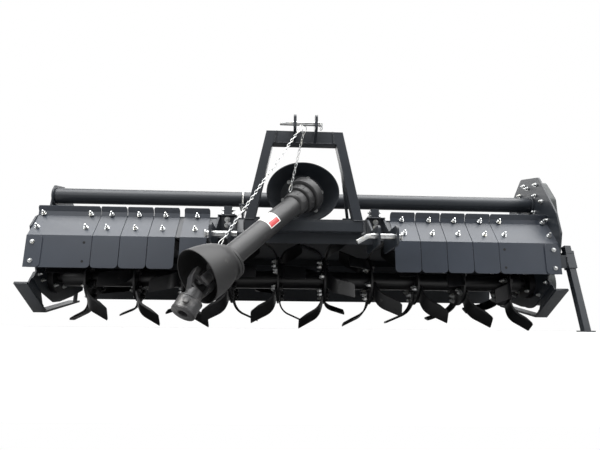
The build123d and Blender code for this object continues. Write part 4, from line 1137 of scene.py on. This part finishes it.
class TILLER_OT_hitch(bpy.types.Operator):
    """Fits the lower pins' heads, collars and handle, and the ledges and bolts of the lower lugs"""

    bl_idname = "tiller.hitch"
    bl_label = "Hitch fittings"

    CENTRES = (-329.5, 353.5)
    PIN = (-498.0, 380.0)
    PIN_HALF = 66.0
    HEAD = ((0.0, 0.0), (0.0, 13.5), (1.5, 16.5), (7.5, 16.5), (9.0, 14.5), (9.0, 0.0))
    HEAD_INSET = 9.0
    HEAD_SEGMENTS = 36
    COLLAR = ((0.0, 0.0), (0.0, 12.5), (5.0, 12.5), (5.0, 0.0))
    COLLAR_INSET = 16.0
    COLLAR_SEGMENTS = 32
    # The bent handle's route from the right pin's inner end, and its radius
    HANDLE = ((12.0, 0.0, 0.0), (-4.0, 0.0, 0.0), (-14.0, 0.0, -1.0), (-32.0, -2.0, -12.0),
              (-58.0, -2.0, -27.0))
    HANDLE_RADIUS = 10.2
    LEDGE_Y = -298.0
    LEDGE_Z = 505.0
    LEDGE_HALVES = (43.0, 9.0, 2.5)
    PLATE_Y = -290.0
    PLATE_BOLT_HEIGHTS = (488.0, 462.0)
    PLATE_BOLT = 17.0
    PLATE_STUD = 4.0
    STUB_Y = -262.0
    STUB_HALF = 18.0
    STUB_BOLT_HEIGHTS = (522.0, 540.0)
    STUB_BOLT = 11.0
    STUB_STUD = 3.0

    def execute(self, context):
        y, z = self.PIN
        fittings = []
        for side, centre in zip(SIDES, self.CENTRES):
            fittings.append(lathe("head", at(centre + side * (self.PIN_HALF - self.HEAD_INSET), y, z),
                                  (side, 0.0, 0.0), self.HEAD, self.HEAD_SEGMENTS))
            fittings.append(lathe("collar", at(centre - side * (self.PIN_HALF - self.COLLAR_INSET), y, z),
                                  (-side, 0.0, 0.0), self.COLLAR, self.COLLAR_SEGMENTS))
        inner_end = self.CENTRES[1] - self.PIN_HALF
        route = [at(inner_end + a, y + b, z + c) for a, b, c in self.HANDLE]
        fittings.append(rod_mesh("handle", route, self.HANDLE_RADIUS))
        keep_piece("lower_pin_fittings", joined("lower_pin_fittings", fittings), "frame", "zinc")
        ledges = [(at(x, self.LEDGE_Y, self.LEDGE_Z), self.LEDGE_HALVES, None) for x in self.CENTRES]
        keep_piece("lug_plate_ledges", blocks("lug_plate_ledges", ledges), "frame", "frame_paint")
        stub_bolts = [(at(x + side * self.STUB_HALF, self.STUB_Y, z), (side, 0.0, 0.0))
                      for x in self.CENTRES for z in self.STUB_BOLT_HEIGHTS for side in SIDES]
        fit_fasteners("lug_bolts", stub_bolts, "frame", self.STUB_BOLT, stud=self.STUB_STUD)
        plate_bolts = [(at(x, self.PLATE_Y, z), FORWARD)
                       for x in self.CENTRES for z in self.PLATE_BOLT_HEIGHTS]
        fit_fasteners("lug_plate_bolts", plate_bolts, "frame", self.PLATE_BOLT, stud=self.PLATE_STUD)
        return {"FINISHED"}


class TILLER_OT_tube_clamps(bpy.types.Operator):
    """Clamps the cross tubes to the hood with U-bolts, saddles and brackets"""

    bl_idname = "tiller.tube_clamps"
    bl_label = "Tube clamps"

    PLACES = (-276.0, 290.0)
    TUBE = (-95.0, 639.0)
    WIRE_RADIUS = 5.0
    BEND_RADIUS = 43.5
    BEND_STEPS = 10
    LEG_START_Z = 600.0
    LEG_END_Z = 566.0
    SADDLE_Z = 597.0
    SADDLE_HALVES = (17.0, 60.0, 4.0)
    HOOD_Z = 512.0
    WEB_HALF_THICKNESS = 4.0
    WEB_HALF_DEPTH = 34.0
    PAD_HALVES = (26.0, 40.0, 3.0)
    PAD_NUT = (15.0, -26.0)
    NUT_SHARE = 0.6
    NUT_STUD = 7.0

    def execute(self, context):
        tube_y = self.TUBE[0]
        wires, plates, nuts = [], [], []
        for x in self.PLACES:
            wires.append(rod_mesh("bolt", [at(x, y, z) for y, z in self.bolt_path()], self.WIRE_RADIUS))
            saddle_half, pad_half = self.SADDLE_HALVES[2], self.PAD_HALVES[2]
            half_web = (self.SADDLE_Z - self.HOOD_Z) / 2
            web = (self.WEB_HALF_THICKNESS, self.WEB_HALF_DEPTH, half_web)
            plates += [(at(x, tube_y, self.SADDLE_Z), self.SADDLE_HALVES, None),
                       (at(x, tube_y, self.HOOD_Z + half_web), web, None),
                       (at(x, tube_y, self.HOOD_Z + pad_half), self.PAD_HALVES, None)]
            nut_x, nut_y = self.PAD_NUT
            for side in SIDES:
                nuts.append((at(x, tube_y + side * self.BEND_RADIUS, self.SADDLE_Z - saddle_half),
                             (0.0, 0.0, -1.0)))
                nuts.append((at(x + side * nut_x, tube_y + nut_y, self.HOOD_Z + 2 * pad_half),
                             (0.0, 0.0, 1.0)))
        keep_piece("tube_u_bolts", joined("tube_u_bolts", wires), "frame", "zinc")
        keep_piece("tube_saddles", blocks("tube_saddles", plates), "frame", "frame_paint")
        size = context.scene.tiller_fasteners.clamp_nut * self.NUT_SHARE
        fit_fasteners("tube_clamp_nuts", nuts, "frame", size, stud=self.NUT_STUD)
        return {"FINISHED"}

    def bolt_path(self):
        """The U-bolt's route over the tube, as (y, z)."""
        tube_y, tube_z = self.TUBE
        turns = (i * math.pi / self.BEND_STEPS for i in range(self.BEND_STEPS + 1))
        arch = [(tube_y + self.BEND_RADIUS * math.cos(t), tube_z + self.BEND_RADIUS * math.sin(t))
                for t in turns]
        rear, front = tube_y + self.BEND_RADIUS, tube_y - self.BEND_RADIUS
        return [(rear, self.LEG_END_Z), (rear, self.LEG_START_Z), *arch,
                (front, self.LEG_START_Z), (front, self.LEG_END_Z)]


class TILLER_OT_bowl(bpy.types.Operator):
    """Bolts the bowl guard to its ring, seats the ring and rolls the bowl's rim"""

    bl_idname = "tiller.bowl"
    bl_label = "Bowl guard"

    CENTRE = (12.0, 603.0)
    FRONT_Y = -370.0
    RING_Y = -300.0
    HALVES = (161.5, 138.5)
    RIM_WIRE = 2.6
    RIM_STEPS = 72
    BOLT = 13.0
    BOLT_STUD = 4.0
    BOLT_CIRCLE = 91.0
    BOLT_COUNT = 6
    BOLT_TURN = 13.0
    SEAT = ((0.0, 79.0), (1.6, 79.0), (3.0, 77.0), (3.0, 62.0), (0.0, 62.0))

    def execute(self, context):
        x, z = self.CENTRE
        half_x, half_z = self.HALVES
        turns = (i * math.tau / self.RIM_STEPS for i in range(self.RIM_STEPS))
        rim = [at(x + half_x * math.cos(t), self.FRONT_Y + self.RIM_WIRE, z + half_z * math.sin(t))
               for t in turns]
        keep_piece("bowl_rim", rod_mesh("bowl_rim", rim, self.RIM_WIRE, endless=True), "frame",
                   "frame_paint")
        bolts = []
        for i in range(self.BOLT_COUNT):
            angle = math.radians(self.BOLT_TURN + i * 360.0 / self.BOLT_COUNT)
            bolts.append((at(x + self.BOLT_CIRCLE * math.cos(angle), self.RING_Y,
                             z + self.BOLT_CIRCLE * math.sin(angle)), FORWARD))
        fit_fasteners("bowl_bolts", bolts, "frame", self.BOLT, stud=self.BOLT_STUD)
        seat = lathe("ring_seat", at(x, self.RING_Y, z), FORWARD, self.SEAT, looped=True)
        keep_piece("bowl_ring_seat", seat, "frame", "frame_paint")
        return {"FINISHED"}


class TILLER_OT_side_bolts(bpy.types.Operator):
    """Fits the bolts, tube flanges and filler cap of the side plates and the gear case"""

    bl_idname = "tiller.side_bolts"
    bl_label = "Side plate bolts"

    INNER_X = 1205.0
    OUTER_X = 1213.0
    # Bolts on the inner face of each side plate, as (y, z)
    PLATE_SPOTS = {-1: ((-160.0, 242.0), (-121.0, 217.0), (116.0, 228.0)),
                   1: ((-63.0, 752.0), (-94.0, 731.0), (-172.0, 727.0), (-13.0, 714.0), (-157.0, 674.0),
                       (-207.0, 630.0), (-134.0, 595.0), (19.0, 631.0), (-232.0, 529.0), (156.0, 254.0),
                       (226.0, 266.0), (59.0, 343.0), (-174.0, 232.0), (-100.0, 178.0), (132.0, 190.0))}
    SKID_SPOTS = ((-170.0, 221.0), (-112.0, 166.0), (287.0, 230.0), (287.0, 320.0))
    SKID_STEP = 8.0
    PLATE_BOLT = 14.0
    PLATE_STUD = 5.0
    BEARING_LENGTH = 26.0
    BEARING_CIRCLE = 62.0
    BEARING_BOLTS = 4
    BEARING_TURN = 45.0
    COVER_X = 1299.0
    COVER_SPOTS = ((-112.0, 403.0), (-143.0, 500.0), (-143.0, 600.0), (-118.0, 690.0), (-50.0, 741.0),
                   (-5.0, 700.0), (46.0, 628.0), (67.0, 500.0), (80.0, 400.0))
    COVER_LOBE_RADIUS = 88.0
    COVER_LOBE_DEGREES = (205.0, 240.0, 270.0, 300.0, 335.0)
    COVER_BOLT = 15.0
    COVER_STUD = 1.0
    TUBE = (-95.0, 639.0)
    FLANGE = ((0.0, 38.4), (0.0, 47.0), (1.5, 49.0), (8.0, 49.0), (8.0, 38.4))
    FLANGE_DEPTH = 8.0
    FLANGE_SEGMENTS = 48
    CAP = (1287.0, -155.0, 643.0)
    CAP_PROFILE = ((0.0, 0.0), (0.0, 9.0), (3.0, 9.0), (3.6, 11.0), (9.0, 11.0), (11.0, 9.0), (11.0, 0.0))
    CAP_SEGMENTS = 24

    def execute(self, context):
        for side, name in SIDES.items():
            fit_fasteners("side_bolts_" + name, self.plate_bolts(side), "frame", self.PLATE_BOLT,
                          stud=self.PLATE_STUD)
            flange = lathe("tube_flange_" + name, at(side * (self.INNER_X - self.FLANGE_DEPTH), *self.TUBE),
                           (side, 0.0, 0.0), self.FLANGE, self.FLANGE_SEGMENTS, looped=True)
            keep_piece("tube_flange_" + name, flange, "frame", "frame_paint")
        lobe = self.round_rotor(self.COVER_LOBE_RADIUS, self.COVER_LOBE_DEGREES)
        cover = [(at(self.COVER_X, y, z), (1.0, 0.0, 0.0)) for y, z in (*self.COVER_SPOTS, *lobe)]
        fit_fasteners("case_cover_bolts", cover, "frame", self.COVER_BOLT, stud=self.COVER_STUD)
        cap = lathe("filler_cap", at(*self.CAP), FORWARD, self.CAP_PROFILE, self.CAP_SEGMENTS)
        keep_piece("filler_cap", cap, "frame", "frame_paint", "cap_plastic")
        return {"FINISHED"}

    def plate_bolts(self, side):
        """The bolts of one side plate, of its rotor bearing and of its skid."""
        inward, outward = (-side, 0.0, 0.0), (side, 0.0, 0.0)
        degrees = [self.BEARING_TURN + i * 360.0 / self.BEARING_BOLTS for i in range(self.BEARING_BOLTS)]
        bearing = self.round_rotor(self.BEARING_CIRCLE, degrees)
        bearing_x = self.INNER_X - self.BEARING_LENGTH
        rows = [(at(side * self.INNER_X, y, z), inward) for y, z in self.PLATE_SPOTS[side]]
        rows += [(at(side * bearing_x, y, z), inward) for y, z in bearing]
        rows += [(at(side * (self.OUTER_X + self.SKID_STEP), y, z), outward) for y, z in self.SKID_SPOTS]
        return rows

    @staticmethod
    def round_rotor(radius, degrees):
        """Points on a circle round the rotor's axis, as (y, z)."""
        turns = [math.radians(angle) for angle in degrees]
        return [(radius * math.cos(t), ROTOR_HEIGHT + radius * math.sin(t)) for t in turns]


class TILLER_OT_stand(bpy.types.Operator):
    """Fits the stand's pin, its spring clip, the band of its sleeve, and black discs of painted shade at the holes
    down its leg
    """

    bl_idname = "tiller.stand"
    bl_label = "Stand fittings"

    CENTRE_X = 1295.0
    SLEEVE_HALF = 20.0
    LEG_HALF = 15.0
    FOOT_Y = -288.0
    TOP_Y = -220.0
    TOP_Z = 375.0
    LEAN = (TOP_Y - FOOT_Y) / TOP_Z
    PIN = (-231.0, 316.0)
    PIN_HEAD = ((0.0, 0.0), (0.0, 6.5), (9.0, 6.5), (9.0, 9.5), (13.0, 9.5), (15.0, 7.5), (15.0, 0.0))
    PIN_SEGMENTS = 24
    CLIP_RADIUS = 13.0
    CLIP_DROP = 11.0
    CLIP_GAP = 1.4
    CLIP_STEPS = 12
    CLIP_WIRE = 1.0
    HOLE_RADIUS = 5.5
    HOLE_SEGMENTS = 20
    HOLE_HEIGHTS = (60.0, 95.0, 130.0, 165.0, 200.0, 235.0)
    BAND_DROP = 7.0
    BAND_HALF_THICKNESS = 1.6
    BAND_CHAMFER = 0.6

    def execute(self, context):
        keep_piece("stand_pin", joined("stand_pin", self.pin_ends()), "frame", "zinc")
        # The leg's holes are black discs of painted shade
        holes = []
        for height in self.HOLE_HEIGHTS:
            spot = at(self.CENTRE_X, self.FOOT_Y + self.LEAN * height, height)
            for side in SIDES:
                face = spot + Vector((side * self.LEG_HALF * MM, 0.0, 0.0))
                holes.append(painted_hole_shade(face, (side, 0.0, 0.0), self.HOLE_RADIUS, self.HOLE_SEGMENTS))
        keep_piece("stand_leg_holes", joined("stand_leg_holes", holes), "stand_leg", "frame_paint",
                   "painted_hole_shade")
        axis = Vector((0.0, self.LEAN, 1.0)).normalized()
        front = Vector((0.0, -1.0, self.LEAN)).normalized()
        top = at(self.CENTRE_X, self.FOOT_Y + self.LEAN * self.TOP_Z, self.TOP_Z)
        centre = top - axis * self.BAND_DROP * MM + front * self.SLEEVE_HALF * MM
        halves = (self.SLEEVE_HALF, self.BAND_HALF_THICKNESS, self.BAND_DROP)
        band = blocks("stand_sleeve_band", [(centre, halves, ((1, 0, 0), front, axis))], self.BAND_CHAMFER)
        keep_piece("stand_sleeve_band", band, "frame", "frame_paint")
        return {"FINISHED"}

    def pin_ends(self):
        """The pin's head on the left of the sleeve and its ring clip on the right."""
        y, z = self.PIN
        head = lathe("head", at(self.CENTRE_X - self.SLEEVE_HALF, y, z), (-1.0, 0.0, 0.0), self.PIN_HEAD,
                     self.PIN_SEGMENTS)
        clip_x = self.CENTRE_X + self.SLEEVE_HALF + self.CLIP_GAP
        clip_z = z - self.CLIP_DROP
        turns = (i * math.tau / self.CLIP_STEPS for i in range(self.CLIP_STEPS))
        ring = [at(clip_x, y + self.CLIP_RADIUS * math.cos(t), clip_z + self.CLIP_RADIUS * math.sin(t))
                for t in turns]
        return [head, rod_mesh("clip", ring, self.CLIP_WIRE, endless=True)]


class TILLER_OT_yoke(bpy.types.Operator):
    """Fits the splines and the turned steps of the open yoke"""

    bl_idname = "tiller.yoke"
    bl_label = "Open yoke"

    WAY = Vector((-0.35, -0.44, -0.83)).normalized()
    CENTRE_ALONG = 655.0
    SPLINES = 6
    SPLINE_ALONG = 118.0
    SPLINE_RADIUS = 16.4
    SPLINE_HALVES = (19.0, 2.8, 1.3)
    SPLINE_CHAMFER = 0.4
    STEPS = (((87.0, 40.6), (87.0, 42.2), (92.0, 42.2), (93.0, 40.6)),
             ((128.0, 40.6), (129.0, 42.0), (135.0, 42.0), (138.0, 39.0)),
             ((136.5, 17.6), (138.4, 19.0), (138.4, 36.0), (136.5, 37.0)))

    def execute(self, context):
        centre = JOINT + SHAFT_WAY * self.CENTRE_ALONG * MM
        up = (Vector((0.0, 0.0, 1.0)) - self.WAY * self.WAY.z).normalized()
        side = self.WAY.cross(up)
        rows = []
        for i in range(self.SPLINES):
            angle = math.tau * i / self.SPLINES
            out = up * math.cos(angle) + side * math.sin(angle)
            middle = centre + (self.WAY * self.SPLINE_ALONG + out * self.SPLINE_RADIUS) * MM
            rows.append((middle, self.SPLINE_HALVES, (self.WAY, self.WAY.cross(out), out)))
        splines = blocks("yoke_splines", rows, self.SPLINE_CHAMFER)
        keep_piece("yoke_splines", splines, "outer_yoke", "cast_steel")
        steps = [lathe("step", centre, self.WAY, profile, looped=True) for profile in self.STEPS]
        keep_piece("yoke_steps", joined("yoke_steps", steps), "outer_yoke", "cast_steel")
        return {"FINISHED"}


class TILLER_OT_welds(bpy.types.Operator):
    """Lays weld beads where plates of the hitch frame, skids and stand meet"""

    bl_idname = "tiller.welds"
    bl_label = "Welds"

    STEP = 3.2
    DROP = 3.4
    LEAST_DROPS = 2
    # The two ends of each bead
    LINES = (
        ((-103.0, -481.0, 790.0), (127.0, -481.0, 790.0)),
        ((-118.0, -481.0, 790.0), (-110.0, -481.0, 846.0)),
        ((139.0, -481.0, 790.0), (134.0, -481.0, 846.0)),
        ((-236.0, -481.0, 448.0), (-196.0, -481.0, 448.0)),
        ((220.0, -481.0, 448.0), (260.0, -481.0, 448.0)),
        ((-238.0, -481.0, 402.0), (-238.0, -481.0, 442.0)),
        ((262.0, -481.0, 402.0), (262.0, -481.0, 442.0)),
        ((-238.0, -420.0, 402.0), (262.0, -420.0, 402.0)),
        ((1274.0, -247.0, 300.0), (1274.0, -247.0, 348.0)),
        ((1213.0, -247.0, 300.0), (1213.0, -247.0, 348.0)),
        ((-1213.0, -222.0, 196.0), (-1213.0, -66.0, 100.0)),
        ((1213.0, -222.0, 196.0), (1213.0, -66.0, 100.0)),
        ((-372.0, -289.0, 345.0), (-372.0, -289.0, 500.0)),
        ((-287.0, -289.0, 345.0), (-287.0, -289.0, 500.0)),
        ((311.0, -289.0, 345.0), (311.0, -289.0, 500.0)),
        ((396.0, -289.0, 345.0), (396.0, -289.0, 500.0)))

    def execute(self, context):
        spots = []
        for first, last in self.LINES:
            start, end = at(*first), at(*last)
            run = end - start
            count = max(self.LEAST_DROPS, int(run.length / (self.STEP * MM)))
            spots += [(start + run * ((i + 0.5) / count), run.normalized()) for i in range(count)]
        values = {"Drop size": self.DROP * MM, "Material": FINISHES["frame_paint"]}
        mesh = run_group(bead_group(), points_mesh("welds", spots), "welds", values)
        keep_piece("welds", mesh, "frame", "frame_paint")
        return {"FINISHED"}


class TILLER_OT_studio(bpy.types.Operator):
    """Lays the floor and sets the lights, the sky and the camera"""

    bl_idname = "tiller.studio"
    bl_label = "Studio"

    EYE = (-88.0, -2350.0, 2.0)
    SENSOR = 36.0
    NEAR = 0.01
    BACKGROUND = (1.0, 1.0, 1.0, 1.0)
    FLOOR_TONES = ((0.80, 0.80, 0.80), (0.84, 0.84, 0.84))
    FLOOR_BOUNCE = (0.30, 0.30, 0.30)
    # Name, place, aim, width, height, and share of the top light's power
    LAMPS = (("Top light", (0.1, -0.7, 3.6), (0.0, -0.1, 0.4), 7.0, 3.4, 1.0),
             ("Rear light", (0.0, 3.6, 2.8), (0.0, 0.0, 0.5), 6.0, 2.2, 0.30),
             ("Front light", (-2.6, -4.2, 2.0), (0.0, -0.2, 0.35), 2.4, 1.8, 0.10),
             ("Side light", (3.6, -2.2, 1.8), (0.3, -0.2, 0.35), 1.8, 1.8, 0.10))

    def execute(self, context):
        studio = context.scene.tiller_studio
        self.lay_floor(studio)
        self.set_lights(studio)
        self.set_sky(context.scene, studio)
        self.set_camera(context.scene, studio)
        context.scene.view_settings.view_transform = "Standard"
        return {"FINISHED"}

    def lay_floor(self, studio):
        half = studio.floor_size / 2
        mesh = bpy.data.meshes.new("Floor")
        mesh.from_pydata([(-half, -half, 0), (half, -half, 0), (half, half, 0), (-half, half, 0)], [],
                         [(0, 1, 2, 3)])
        floor = bpy.data.objects.new("Floor", mesh)
        bpy.context.scene.collection.objects.link(floor)
        material, tree, feed = new_material("Pale floor", Roughness=0.9)
        mottle = tree.noise(scale=1.5, detail=3.0)
        seen = tree.add("ShaderNodeLightPath", out="Is Camera Ray")
        pale = tree.blend(mottle, *(colour(tone) for tone in self.FLOOR_TONES))
        feed(Base_Color=tree.blend(seen, colour(self.FLOOR_BOUNCE), pale))
        mesh.materials.append(material)

    def set_lights(self, studio):
        for name, spot, aim, width, height, share in self.LAMPS:
            light = bpy.data.lights.new(name, "AREA")
            light.shape = "RECTANGLE"
            light.size = width
            light.size_y = height
            light.energy = studio.key * share
            lamp = bpy.data.objects.new(name, light)
            bpy.context.scene.collection.objects.link(lamp)
            lamp.location = spot
            lamp.rotation_euler = (Vector(aim) - Vector(spot)).to_track_quat("-Z", "Y").to_euler()

    def set_sky(self, scene, studio):
        world = bpy.data.worlds.new("Studio sky")
        world.use_nodes = True
        world.node_tree.nodes.clear()
        tree = Tree(world.node_tree)
        seen = tree.add("ShaderNodeLightPath", out="Is Camera Ray")
        even = tree.add("ShaderNodeBackground", None, {"Color": self.BACKGROUND, "Strength": studio.sky})
        white = tree.add("ShaderNodeBackground", None, {"Color": self.BACKGROUND, "Strength": 1.0})
        both = tree.add("ShaderNodeMixShader", None, {0: seen, 1: even, 2: white})
        tree.add("ShaderNodeOutputWorld", None, {0: both})
        scene.world = world

    def set_camera(self, scene, studio):
        yaw, pitch, roll = (math.radians(a) for a in (studio.yaw, studio.pitch, studio.roll))
        forward = Vector((math.sin(yaw) * math.cos(pitch), math.cos(yaw) * math.cos(pitch), math.sin(pitch)))
        level = Vector((math.cos(yaw), -math.sin(yaw), 0.0))
        up = level.cross(forward)
        right = level * math.cos(roll) + up * math.sin(roll)
        top = up * math.cos(roll) - level * math.sin(roll)
        turn = Matrix((right, top, -forward)).transposed().to_4x4()
        lens = bpy.data.cameras.new("Camera")
        lens.lens = studio.lens
        lens.sensor_width = self.SENSOR
        lens.clip_start = self.NEAR
        camera = bpy.data.objects.new("Camera", lens)
        scene.collection.objects.link(camera)
        camera.matrix_world = Matrix.Translation(at(*self.EYE)) @ turn
        scene.camera = camera


class TILLER_PT_looks(bpy.types.Panel):
    """Lists the settings and the operators of the machine's looks"""

    bl_idname = "TILLER_PT_looks"
    bl_label = "Rotary tiller"
    bl_space_type = "VIEW_3D"
    bl_region_type = "UI"
    bl_category = "Tiller"

    def draw(self, context):
        for settings in (context.scene.tiller_paint, context.scene.tiller_fasteners,
                         context.scene.tiller_chain, context.scene.tiller_studio):
            box = self.layout.box()
            for field in settings.bl_rna.properties:
                if field.identifier not in ("rna_type", "name"):
                    box.prop(settings, field.identifier)
        for operator in OPERATORS:
            self.layout.operator(operator.bl_idname)


SETTINGS = {"tiller_paint": TillerPaint, "tiller_fasteners": TillerFasteners,
            "tiller_chain": TillerChain, "tiller_studio": TillerStudio}
OPERATORS = (TILLER_OT_paint, TILLER_OT_shield_nuts, TILLER_OT_shield_holes, TILLER_OT_blade_bolts,
             TILLER_OT_chains, TILLER_OT_guard, TILLER_OT_hooks, TILLER_OT_hitch, TILLER_OT_tube_clamps,
             TILLER_OT_bowl, TILLER_OT_side_bolts, TILLER_OT_stand, TILLER_OT_yoke, TILLER_OT_welds,
             TILLER_OT_studio)


def register():
    for settings in SETTINGS.values():
        bpy.utils.register_class(settings)
    for operator in OPERATORS:
        bpy.utils.register_class(operator)
    bpy.utils.register_class(TILLER_PT_looks)
    for name, settings in SETTINGS.items():
        setattr(bpy.types.Scene, name, PointerProperty(type=settings))


def unregister():
    for name in SETTINGS:
        delattr(bpy.types.Scene, name)
    bpy.utils.unregister_class(TILLER_PT_looks)
    for operator in reversed(OPERATORS):
        bpy.utils.unregister_class(operator)
    for settings in reversed(list(SETTINGS.values())):
        bpy.utils.unregister_class(settings)


def main():
    register()
    for operator in OPERATORS:
        group, name = operator.bl_idname.split(".")
        getattr(getattr(bpy.ops, group), name)()


if __name__ == "__main__":
    main()
